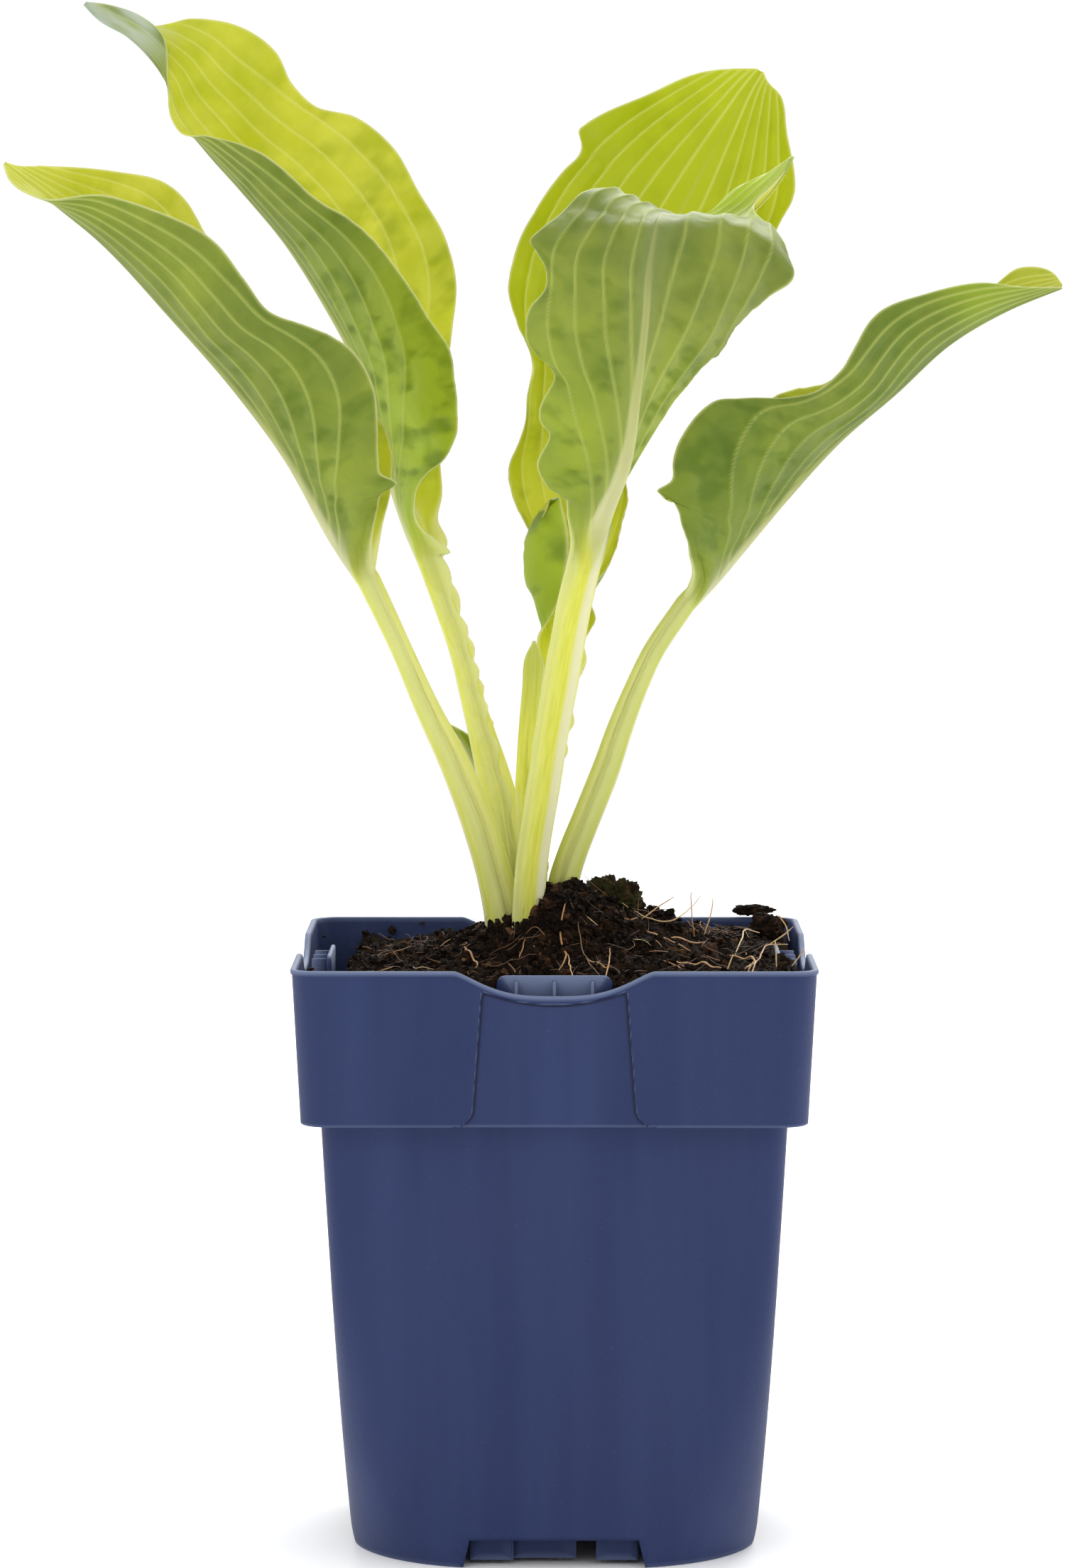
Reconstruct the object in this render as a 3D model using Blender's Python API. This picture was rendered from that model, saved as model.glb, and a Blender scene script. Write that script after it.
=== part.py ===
"""Potted hosta: a square nursery pot, its peat, and a young hosta with five big leaves.

Metres, +Z up. The origin is on the ground under the middle of the pot, and -Y is the front.
Lengths below are written in millimetres and multiplied by MM where they are used.
"""
from math import cos, pi, sin

import bmesh
import bpy
import numpy as np
from mathutils import Matrix, Vector

MM = 0.001
QUARTER_TURNS = (0.0, pi / 2, pi, 3 * pi / 2)

# Pot
POT_HEIGHT = 153.4
RIM_HALF = 66.0
COLLAR_FOOT_HALF = 63.6
COLLAR_FOOT_Z = 114.0
COLLAR_RADIUS = 7.0
COLLAR_WALL = 1.6
SHOULDER = 1.4
BODY_TOP_HALF = 58.6
BASE_HALF = 52.3
BODY_WALL = 1.05
BODY_RADIUS = 5.0
BASE_EXTRA_RADIUS = 27.0
RADIUS_FADES_AT = 100.0
RADIUS_POWER = 2.3
FLOOR_UNDERSIDE = 8.0
FLOOR_TOP = 9.2
BODY_LEVELS = (8.0, 17.0, 27.0, 40.0, 58.0, 80.0)
CORNER_STEPS = 6
LIP_OUT = 0.4
LIP_HEIGHT = 1.2

# The dip in the middle of each side's rim, and the channel below it
DIP_DEPTH = 5.0
DIP_HALF_WIDTH = 25.0
BAND_LOW_Z = 145.0
BAND_RISE = 3.3
CHANNEL_TOP_HALF = 17.8
CHANNEL_LOW_HALF = 20.3
CHANNEL_FLARE = 5.0
CHANNEL_DEPTH = 0.6

# The grip tab that stands inside each dip, and its three ribs
TAB_HALF_WIDTH = 14.5
TAB_INSET = 58.6
TAB_THICKNESS = 1.1
TAB_TOP = 151.6
RIB_PLACES = (-9.5, 0.0, 9.5)
RIB_THICKNESS = 0.8
RIB_TOP = 148.0

# Foot
NOTCH_TOP_HALF = 21.4
NOTCH_FOOT_HALF = 23.3
NOTCH_HEIGHT = 7.3
SKIRT_FOOT = 1.2
SKIRT_THICKNESS = 1.2
SKIRT_PANELS = ((-16.1, 10.5, 47.2), (-2.7, 16.6, 45.0), (15.9, 10.6, 47.2))
SKIRT_RETURN_X = -10.9
DRAIN_RADIUS = 4.0
DRAIN_RING = 32.0
DRAIN_COUNT = 8

# Peat
GAP = 0.4
SOIL_CELLS = 26
SOIL_LEVEL = 149.8
LEFT_GAP_STARTS = -51.5
LEFT_GAP_RUN = 5.0
LEFT_GAP_DEPTH = 11.0
SOIL_LUMPS = (  # x, y, height, spread
    (8, 2, 9.0, 23), (3, -5, 10.0, 9.5), (-3, -19, 10.0, 5.5), (-15, -17, 7.0, 6), (-21, 2, 3.0, 6),
    (-45, 38, -4.5, 17), (-52, -30, -2.0, 12), (27, 4, 4.0, 5), (30, -30, 1.0, 12), (55, 4, 1.0, 9),
    (-30, -32, 1.0, 9), (-5, -46, -1.0, 12),
)
CLODS = (  # name, x, y, sunk z, radii
    ("soil_clod_middle", 15.0, 7.0, 163.5, (7.5, 6.5, 6.0)),
    ("soil_clod_rim", 53.4, 64.2, 155.4, (4.9, 2.7, 1.3)),
    ("soil_clod_corner", 57.0, 30.0, 154.2, (4.4, 5.4, 3.4)),
)
CLOD_HOLLOW = 1.12
CLOD_SWELL = 0.12
CLOD_RIPPLE = 0.08
STRAW_RADIUS = 0.45
STRAW_LIFT = 1.1
STRAWS = (  # plan of each straw, from end to end
    ("straw_front_left", ((-23, -24), (-21, -31), (-19.5, -38), (-20, -43))),
    ("straw_middle", ((3, -19), (1.5, -26), (3, -34), (1, -42))),
    ("straw_front_right", ((8, -38), (11, -41), (14, -46))),
    ("straw_right_long", ((21, -10), (27, -14), (33, -15), (39, -13))),
    ("straw_right_front", ((31, -38), (37, -43), (42, -48))),
    ("straw_corner", ((45, -22), (50, -27), (51, -36), (47, -44))),
)

# Crown: the clump of stalk bases
CROWN_CENTRE = (-8.4, -8.2)
CROWN_TOP = 160.0
CROWN_FOOT = 146.0
CROWN_TOP_RADII = (8.8, 13.4)
CROWN_FOOT_RADII = (9.8, 14.2)
OVAL_STEPS = 20

# Leaves. stalk: x, y, z, width. rib, left, right: the blade's midrib and edges, from base to tip,
# left and right as seen from the upper face. right_way points across the stalk to the right edge.
# cup_left and cup_right: how far each half of the blade bows to its underside, as a part of its
# width, at evenly spaced places from base to tip.
LEAVES = {
    "leaf_left": {
        "right_way": (0, 1, 0),
        "stalk": ((-13.5, -13, 160.5, 6.6), (-15.5, -14.5, 174, 7.0), (-21, -17, 192, 6.2),
                  (-29, -19, 209, 5.6), (-39, -23, 232, 4.8), (-47, -26, 249, 5.2)),
        "rib": ((-56, -30, 263), (-66, -34, 280), (-79, -38, 297), (-96, -42, 316), (-114, -46, 335),
                (-125, -49, 344), (-132, -51, 350), (-137, -52, 354)),
        "left": ((-46, -35, 257), (-44, -43, 268), (-40, -49, 274), (-44, -51, 280), (-44, -54, 288),
                 (-45, -56, 298), (-50, -58, 307), (-61, -60, 313), (-71, -61, 317), (-77, -61, 325),
                 (-83, -61, 333), (-95, -61, 340), (-111, -59, 345), (-128, -57, 345), (-135, -54, 349),
                 (-137, -52, 354)),
        "right": ((-44, -15, 263), (-42, -8, 273), (-42, -4, 280), (-45, -2, 289), (-51, -2, 297),
                  (-60, -3, 306), (-70, -5, 313), (-79, -8, 321), (-87, -11, 332), (-92, -16, 342),
                  (-98, -23, 349), (-111, -33, 352), (-127, -45, 353), (-134, -50, 353),
                  (-137, -52, 354)),
        "cup_left": (0.05, 0.12, 0.14, 0.14, 0.1, 0.05),
        "cup_right": (0.05, 0.12, 0.14, 0.14, 0.1, 0.05),
    },
    "leaf_back_left": {
        "right_way": (0, 1, 0),
        "stalk": ((-10, -5.5, 160.5, 6.2), (-12, -5, 175, 6.4), (-14, -3, 189, 6.2), (-17, 0, 204, 6.0),
                  (-23, 4, 221, 5.6), (-29, 8, 241, 5.2), (-35, 12, 258, 5.0)),
        "rib": ((-43, 18, 279), (-52, 23, 306), (-60, 26, 320), (-70, 29, 335), (-82, 32, 349),
                (-92, 34, 360), (-99, 36, 369), (-102, 38, 377), (-113, 40, 390), (-120, 40, 394),
                (-125, 40, 399)),
        "left": ((-36, 4, 266), (-34, 0, 274), (-27, -5, 282), (-25, -8, 292), (-26, -9, 300),
                 (-28, -9, 309), (-33, -8, 316), (-42, -4, 330), (-52, 1, 340), (-63, 7, 347),
                 (-76, 15, 358), (-91, 26, 363), (-98, 31, 364), (-101, 34, 368), (-102, 38, 378),
                 (-104, 40, 391), (-109, 41, 395), (-117, 41, 398), (-125, 40, 399)),
        "right": ((-27, 18, 260), (-31, 20, 264), (-30, 23, 270), (-30, 29, 287), (-27, 37, 313),
                  (-26, 40, 325), (-29, 43, 337), (-36, 46, 349), (-43, 48, 361), (-53, 49, 369),
                  (-64, 50, 372), (-70, 51, 378), (-74, 51, 386), (-84, 51, 393), (-96, 50, 395),
                  (-107, 47, 393), (-116, 44, 397), (-125, 40, 399)),
        "cup_left": (0.05, 0.1, 0.12, 0.12, 0.08, 0.04),
        "cup_right": (0.05, 0.1, 0.12, 0.12, 0.1, 0.04),
    },
    "leaf_front": {
        "right_way": (-0.85, -0.5, 0),
        "stalk": ((-5.7, -18, 160.5, 6.6), (-6, -19.5, 175, 7.0), (-4, -23, 190, 6.6), (-1, -30, 209, 6.2),
                  (3, -38, 227, 5.8), (6, -45, 242, 5.8), (8, -51, 253, 6.0)),
        "rib": ((12, -62, 267), (17, -70, 280), (20, -79, 298), (22, -87, 315), (23, -91, 328),
                (25, -89, 338), (28, -80, 342), (35, -69, 342), (44, -59, 340), (49, -52, 342),
                (54, -46, 346), (57, -42, 350), (60, -36, 356)),
        "left": ((14, -50, 264), (17, -50, 277), (25, -52, 289), (32, -55, 298), (42, -60, 308),
                 (49, -66, 317), (58.6, -72, 325), (58.3, -67, 330.6), (54.5, -61, 336.5), (49.5, -55, 341.5),
                 (50, -50, 344), (54, -45, 348), (59, -38, 354), (60, -36, 356)),
        "right": ((4, -52, 259), (3, -54, 267), (3, -55, 271), (-2, -58, 273), (-4, -62, 280),
                  (-2, -65, 286), (-4, -67, 292), (-1, -70, 301), (-6, -72, 307), (-7, -72, 315),
                  (-2, -74, 326), (-6.4, -70, 334.4), (-2.5, -68, 337.7), (3, -63, 343), (11, -57, 347.6),
                  (14.4, -54, 348), (18, -48, 344), (23, -42, 341.5), (33, -37, 342), (46, -37, 349),
                  (54, -37, 352), (60, -36, 356)),
        "cup_left": (0.05, 0.1, 0.14, 0.18, 0.12, 0.05),
        "cup_right": (0.05, 0.1, 0.12, -0.03, 0.05, 0.05),
    },
    "leaf_back": {
        "right_way": (1, 0, 0),
        "stalk": ((-5.2, 0.8, 160.5, 4.8), (-5, 1.5, 173, 5.2), (-4, 4, 188, 5.4), (-2, 8, 202, 5.2),
                  (0, 12, 213, 5.0)),
        "rib": ((2, 18, 226), (5, 28, 241), (9, 38, 261), (12, 48, 279), (17, 60, 302), (24, 70, 325),
                (35, 79, 346), (47, 87, 368), (54, 92, 380), (57, 93, 384)),
        "left": ((-3, 14, 223), (-4.5, 14, 232), (-1, 12, 238), (1, 9, 242), (3, 4, 251), (3, 1, 261),
                 (0.5, 3, 269), (-3, 9, 263), (-7, 20, 259), (-11, 26, 267), (-12, 30, 276), (-9, 34, 286),
                 (-7, 38, 295), (-6, 42, 303), (-10, 44, 314), (-13, 46, 322), (-11, 50, 332),
                 (-5, 56, 346), (3, 62, 356), (6, 68, 363), (14, 74, 370), (26, 80, 377), (41, 88, 383),
                 (50, 92, 384), (57, 93, 384)),
        "right": ((5, 13, 218), (7.5, 14, 228), (10.5, 15, 237), (10, 16, 243), (12.5, 18, 248),
                  (17, 22, 257), (19.5, 27, 268), (19, 34, 278), (22, 38, 287), (34, 45, 300),
                  (45, 52, 313), (55, 58, 329), (60, 62, 339), (64, 66, 346), (65, 72, 357), (63, 79, 368),
                  (62, 86, 376), (58, 91, 381), (57, 93, 384)),
        "cup_left": (0.05, 0.42, 0.12, 0.12, 0.1, 0.05),
        "cup_right": (0.05, 0.15, 0.14, 0.14, 0.12, 0.05),
    },
    "leaf_right": {
        "right_way": (0, -1, 0),
        "stalk": ((2.5, -0.6, 160, 6.2), (3.4, -0.8, 170, 6.8), (7, 0, 184, 6.8), (14, 4, 199, 6.2),
                  (21, 8, 214, 5.4), (28, 12, 229, 5.0), (34, 15, 241, 5.2)),
        "rib": ((48, 20, 256), (60, 25, 269), (75, 31, 284), (90, 37, 296), (105, 42, 309),
                (121, 47, 318), (136, 50, 324)),
        "left": ((40, 30, 250), (44, 37, 262), (48, 43, 274), (52, 48, 285), (56, 52, 292), (62, 55, 296),
                 (73, 58, 298), (81, 60, 305), (91, 61, 313), (105, 60, 320), (117, 58, 324),
                 (125, 56, 329), (133, 53, 328), (136, 50, 324)),
        "right": ((36, 5, 250), (33, -2, 262), (27, -7, 271), (31, -7, 280), (34, -6, 287), (41, -4, 294),
                  (50, 1, 295), (61, 7, 295), (69, 12, 297), (75, 15, 302), (79, 19, 309), (85, 24, 317),
                  (98, 31, 322), (113, 39, 325), (124, 45, 324), (136, 50, 324)),
        "cup_left": (0.05, 0.12, 0.14, 0.14, 0.1, 0.05),
        "cup_right": (0.05, 0.12, 0.14, 0.14, 0.1, 0.05),
    },
    "leaf_sheath": {
        "right_way": (0.6, 0.8, 0),
        "stalk": ((-14.2, 0.8, 160.5, 2.6), (-15.5, 1.5, 176, 3.4), (-17.5, 2.5, 186, 4.2)),
        "rib": ((-20, 3.5, 194), (-24, 4.5, 203), (-28.5, 5, 211)),
        "left": ((-23, 2, 194), (-28, 3, 203), (-28.5, 5, 211)),
        "right": ((-17.5, 5, 196), (-21, 6.5, 206), (-28.5, 5, 211)),
        "cup_left": (0.1, 0.1),
        "cup_right": (0.1, 0.1),
    },
    "leaf_young": {
        "right_way": (-1, 0, 0),
        "stalk": ((-5.4, -11.3, 160.5, 3.4), (-6.4, -12, 178, 4.0), (-7, -13, 193, 4.4)),
        "rib": ((-6.2, -14, 207), (-5.6, -14.5, 221), (-5.6, -14, 233)),
        "left": ((-3.6, -13, 207), (-3, -13, 221), (-5.6, -14, 233)),
        "right": ((-9, -13, 207), (-8, -13, 223), (-5.6, -14, 233)),
        "cup_left": (0.15, 0.15),
        "cup_right": (0.15, 0.15),
    },
}
ACROSS = (-1.0, -0.72, -0.38, -0.13, 0.0, 0.13, 0.38, 0.72, 1.0)
STALK_ROWS = 8
BLADE_ROWS = 22
SMALL_LEAF_ROWS = 7
SMALL_LEAVES = ("leaf_sheath", "leaf_young")
BLADE_END = 0.985
BLADE_THICKNESS = 0.9
RIB_THICKNESS_AT_TIP = 0.6
RIB_SPREAD = 0.12
STALK_DEPTH = 0.8
STALK_ROUNDS_TO = 0.93
RIDGE_BELOW = 0.7
RIDGE_ABOVE = 0.1
STALK_CHANNEL = 0.12
BLADE_STARTS_OVER = 0.16

# Colours (linear), roughness
FINISHES = {
    "moulded_plastic": ((0.035, 0.055, 0.125, 1), 0.5),
    "peat": ((0.022, 0.014, 0.009, 1), 0.95),
    "straw_fibre": ((0.42, 0.24, 0.10, 1), 0.7),
    "leaf_green": ((0.30, 0.42, 0.06, 1), 0.45),
    "stalk_cream": ((0.62, 0.62, 0.30, 1), 0.5),
}


def clear_scene():
    for item in list(bpy.data.objects):
        bpy.data.objects.remove(item, do_unlink=True)


def finish_material(name):
    """A plain Principled material, made once and then shared."""
    material = bpy.data.materials.get(name)
    if material is None:
        colour, roughness = FINISHES[name]
        material = bpy.data.materials.new(name)
        material.use_nodes = True
        shader = material.node_tree.nodes["Principled BSDF"]
        shader.inputs["Base Color"].default_value = colour
        shader.inputs["Roughness"].default_value = roughness
        shader.inputs["Metallic"].default_value = 0.0
    return material


def new_collection(name):
    collection = bpy.data.collections.new(name)
    bpy.context.scene.collection.children.link(collection)
    return collection


def add_mesh(name, verts, faces, collection, finish=None):
    """An object from vertices and faces, its faces turned outward."""
    mesh = bpy.data.meshes.new(name)
    mesh.from_pydata([tuple(v) for v in verts], [], [tuple(f) for f in faces])
    shaping = bmesh.new()
    shaping.from_mesh(mesh)
    bmesh.ops.recalc_face_normals(shaping, faces=shaping.faces)
    shaping.to_mesh(mesh)
    shaping.free()
    item = bpy.data.objects.new(name, mesh)
    collection.objects.link(item)
    if finish:
        mesh.materials.append(finish_material(finish))
    return item


def hide_cutter(item):
    item.hide_render = True
    item.display_type = "WIRE"


def carve(item, cutter, operation="DIFFERENCE"):
    """Boolean one object with another and keep the result in the mesh."""
    modifier = item.modifiers.new(operation.lower(), "BOOLEAN")
    modifier.operation = operation
    modifier.solver = "EXACT"
    modifier.object = cutter
    bpy.context.view_layer.objects.active = item
    bpy.ops.object.modifier_apply(modifier=modifier.name)


def box(name, centre, size, collection, turn=0.0, lean=0.0):
    """A box in millimetres, leaned about X and then turned about the pot's axis."""
    shaping = bmesh.new()
    bmesh.ops.create_cube(shaping, size=1.0)
    bmesh.ops.scale(shaping, vec=Vector(size) * MM, verts=shaping.verts)
    place = Matrix.Translation(Vector(centre) * MM) @ Matrix.Rotation(lean, 4, "X")
    bmesh.ops.transform(shaping, matrix=Matrix.Rotation(turn, 4, "Z") @ place, verts=shaping.verts)
    mesh = bpy.data.meshes.new(name)
    shaping.to_mesh(mesh)
    shaping.free()
    item = bpy.data.objects.new(name, mesh)
    collection.objects.link(item)
    return item


def merged_copy(drawn, name, place, collection):
    """The mesh of a curve object, moved to its place and closed at its caps; the curve goes."""
    mesh = bpy.data.meshes.new_from_object(drawn.evaluated_get(bpy.context.evaluated_depsgraph_get()))
    bpy.data.objects.remove(drawn, do_unlink=True)
    mesh.transform(place)
    shaping = bmesh.new()
    shaping.from_mesh(mesh)
    bmesh.ops.remove_doubles(shaping, verts=shaping.verts, dist=1e-7)
    bmesh.ops.recalc_face_normals(shaping, faces=shaping.faces)
    shaping.to_mesh(mesh)
    shaping.free()
    item = bpy.data.objects.new(name, mesh)
    collection.objects.link(item)
    return item


def plate(name, outline, front, back, collection, turn=0.0, lean=0.0, foot=0.0):
    """An upright plate: an outline in x and z, between two depths, leaned about its foot, then turned."""
    curve = bpy.data.curves.new(name, "CURVE")
    curve.dimensions = "2D"
    curve.fill_mode = "BOTH"
    curve.extrude = abs(back - front) / 2 * MM
    spline = curve.splines.new("POLY")
    spline.points.add(len(outline) - 1)
    for point, (x, z) in zip(spline.points, outline):
        point.co = (x * MM, (z - foot) * MM, 0, 1)
    spline.use_cyclic_u = True
    drawn = bpy.data.objects.new(name + "_outline", curve)
    collection.objects.link(drawn)
    upright = Matrix.Rotation(pi / 2, 4, "X")
    shift = Matrix.Translation(Vector((0, (front + back) / 2, foot)) * MM)
    place = Matrix.Rotation(turn, 4, "Z") @ shift @ Matrix.Rotation(lean, 4, "X") @ upright
    return merged_copy(drawn, name, place, collection)


def square_ring(half, radius, z, steps=CORNER_STEPS):
    """A level square with rounded corners, as a ring of points in metres."""
    ring = []
    for turn in QUARTER_TURNS:
        for step in range(steps + 1):
            angle = turn + step / steps * pi / 2
            middle = turn + pi / 4
            corner = Vector((cos(middle), sin(middle))) * (half - radius) * 2 ** 0.5
            place = corner + radius * Vector((cos(angle), sin(angle)))
            ring.append((place.x * MM, place.y * MM, z * MM))
    return ring


def loft(name, rings, collection, finish=None):
    """A closed body through rings of the same count, with both ends filled."""
    count = len(rings[0])
    verts = [v for ring in rings for v in ring]
    faces = [range(count)]
    for row in range(len(rings) - 1):
        for k in range(count):
            a, b = row * count + k, row * count + (k + 1) % count
            faces.append((a, b, b + count, a + count))
    faces.append(range((len(rings) - 1) * count, len(rings) * count))
    return add_mesh(name, verts, faces, collection, finish)


def body_half(z):
    return BASE_HALF + (BODY_TOP_HALF - BASE_HALF) * z / COLLAR_FOOT_Z


def body_radius(z):
    """Corners are tight at the top of the body and grow wide toward the foot."""
    return BODY_RADIUS + BASE_EXTRA_RADIUS * max(0.0, 1 - z / RADIUS_FADES_AT) ** RADIUS_POWER


def dip_edge(x):
    return POT_HEIGHT - DIP_DEPTH * (1 - (abs(x) / DIP_HALF_WIDTH) ** 3) ** 1.5


def pot_shell(collection):
    """Foot skirt, floor, body, shoulder and collar in one wall."""
    inner_foot = body_half(0) - BODY_WALL
    rings = [square_ring(inner_foot, body_radius(0) - BODY_WALL, FLOOR_UNDERSIDE),
             square_ring(inner_foot, body_radius(0) - BODY_WALL, 0),
             square_ring(body_half(0), body_radius(0), 0)]
    for z in BODY_LEVELS + (COLLAR_FOOT_Z,):
        rings.append(square_ring(body_half(z), body_radius(z), z))
    lip_foot = POT_HEIGHT - LIP_HEIGHT
    collar_inner_top = RIM_HALF - COLLAR_WALL
    collar_inner_foot = COLLAR_FOOT_HALF - COLLAR_WALL
    shoulder_top = COLLAR_FOOT_Z + SHOULDER
    rings += [square_ring(COLLAR_FOOT_HALF, COLLAR_RADIUS, COLLAR_FOOT_Z),
              square_ring(RIM_HALF - LIP_OUT, COLLAR_RADIUS, lip_foot),
              square_ring(RIM_HALF, COLLAR_RADIUS, lip_foot + LIP_OUT / 2),
              square_ring(RIM_HALF, COLLAR_RADIUS, POT_HEIGHT - LIP_OUT),
              square_ring(RIM_HALF - LIP_OUT, COLLAR_RADIUS, POT_HEIGHT),
              square_ring(collar_inner_top, COLLAR_RADIUS - COLLAR_WALL, POT_HEIGHT),
              square_ring(collar_inner_foot, COLLAR_RADIUS - COLLAR_WALL, shoulder_top),
              square_ring(body_half(shoulder_top) - BODY_WALL, BODY_RADIUS - BODY_WALL, shoulder_top)]
    for z in reversed(BODY_LEVELS[1:]):
        rings.append(square_ring(body_half(z) - BODY_WALL, body_radius(z) - BODY_WALL, z))
    rings.append(square_ring(body_half(FLOOR_TOP) - BODY_WALL, body_radius(FLOOR_TOP) - BODY_WALL, FLOOR_TOP))
    return loft("pot", rings, collection, "moulded_plastic")


def dip_outline():
    """The piece of rim that each dip takes away."""
    steps = 14
    xs = [DIP_HALF_WIDTH * (2 * k / steps - 1) for k in range(steps + 1)]
    above = POT_HEIGHT + 3
    return [(x, dip_edge(x)) for x in xs] + [(DIP_HALF_WIDTH, above), (-DIP_HALF_WIDTH, above)]


def channel_outline():
    """The shallow channel below the dip, flaring at its foot."""
    steps = 8
    top = [CHANNEL_TOP_HALF * (1 - 2 * k / steps) for k in range(steps + 1)]
    outline = [(x, BAND_LOW_Z + BAND_RISE * (x / CHANNEL_TOP_HALF) ** 2) for x in top]
    corner = (-CHANNEL_LOW_HALF - CHANNEL_FLARE, COLLAR_FOOT_Z + CHANNEL_FLARE)
    flare = [(corner[0] + CHANNEL_FLARE * cos(a), corner[1] - CHANNEL_FLARE * sin(a))
             for a in (0.0, pi / 6, pi / 3, 0.48 * pi)]
    flare.append((flare[-1][0], COLLAR_FOOT_Z - 3))
    return outline + flare + [(-x, z) for x, z in reversed(flare)]


def build_pot(collection, cutters):
    pot = pot_shell(collection)
    lean = -np.arctan2(RIM_HALF - COLLAR_FOOT_HALF, POT_HEIGHT - COLLAR_FOOT_Z)
    for turn in QUARTER_TURNS:
        dip = plate("dip_cutter", dip_outline(), -RIM_HALF - 3, -RIM_HALF + COLLAR_WALL + 2, cutters, turn)
        channel_face = -COLLAR_FOOT_HALF + CHANNEL_DEPTH
        channel = plate("channel_cutter", channel_outline(), channel_face - 5, channel_face, cutters, turn,
                        -lean, COLLAR_FOOT_Z)
        notch = plate("notch_cutter", [(-NOTCH_FOOT_HALF, -1), (NOTCH_FOOT_HALF, -1),
                                       (NOTCH_TOP_HALF, NOTCH_HEIGHT), (-NOTCH_TOP_HALF, NOTCH_HEIGHT)],
                      -BASE_HALF - 3, -BASE_HALF + 4, cutters, turn)
        for cutter in (dip, channel, notch):
            hide_cutter(cutter)
            carve(pot, cutter)
    for turn in QUARTER_TURNS:
        for piece in grip_tab(cutters, turn) + foot_panels(cutters, turn):
            hide_cutter(piece)
            carve(pot, piece, "UNION")
    for k in range(DRAIN_COUNT + 1):
        reach = DRAIN_RING if k < DRAIN_COUNT else 0.0
        angle = 2 * pi * (k + 0.5) / DRAIN_COUNT
        hole = drain_cutter(reach * cos(angle), reach * sin(angle), cutters)
        hide_cutter(hole)
        carve(pot, hole)
    return pot


def grip_tab(collection, turn):
    """The upright tab behind a dip and the ribs that tie it to the collar."""
    foot = COLLAR_FOOT_Z + SHOULDER / 2
    height = TAB_TOP - foot
    pieces = [box("tab", (0, -TAB_INSET + TAB_THICKNESS / 2, foot + height / 2),
                  (2 * TAB_HALF_WIDTH, TAB_THICKNESS, height), collection, turn)]
    for x in RIB_PLACES:
        reach = COLLAR_FOOT_HALF - TAB_INSET
        pieces.append(box("rib", (x, -TAB_INSET - reach / 2 + 0.3, (foot + RIB_TOP) / 2),
                          (RIB_THICKNESS, reach, RIB_TOP - foot), collection, turn))
    return pieces


def foot_panels(collection, turn):
    """The short panels under the floor that show in a notch."""
    top = FLOOR_UNDERSIDE + 0.5
    middle = (SKIRT_FOOT + top) / 2
    height = top - SKIRT_FOOT
    pieces = [box("panel", (x, -inset, middle), (width, SKIRT_THICKNESS, height), collection, turn)
              for x, width, inset in SKIRT_PANELS]
    near, far = SKIRT_PANELS[0][2], SKIRT_PANELS[1][2]
    pieces.append(box("panel_return", (SKIRT_RETURN_X, -(near + far) / 2, middle - 0.1),
                      (SKIRT_THICKNESS, near - far + 0.7, height), collection, turn))
    return pieces


def drain_cutter(x, y, collection):
    shaping = bmesh.new()
    bmesh.ops.create_cone(shaping, cap_ends=True, segments=10, radius1=DRAIN_RADIUS * MM,
                          radius2=DRAIN_RADIUS * MM, depth=6 * MM)
    middle = (FLOOR_UNDERSIDE + FLOOR_TOP) / 2
    bmesh.ops.translate(shaping, vec=Vector((x, y, middle)) * MM, verts=shaping.verts)
    mesh = bpy.data.meshes.new("drain_cutter")
    shaping.to_mesh(mesh)
    shaping.free()
    item = bpy.data.objects.new("drain_cutter", mesh)
    collection.objects.link(item)
    return item


def soil_height(x, y):
    """Height of the peat in millimetres: a level with soft lumps and hollows, sunk along the left wall."""
    z = SOIL_LEVEL - LEFT_GAP_DEPTH * ease((LEFT_GAP_STARTS - x) / LEFT_GAP_RUN)
    for lump_x, lump_y, height, spread in SOIL_LUMPS:
        z = z + height * np.exp(-((x - lump_x) ** 2 + (y - lump_y) ** 2) / (2 * spread ** 2))
    return z + 0.5 * np.sin(0.43 * x + 0.9) * np.cos(0.37 * y) + 0.3 * np.sin(0.9 * x - 0.7 * y)


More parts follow.
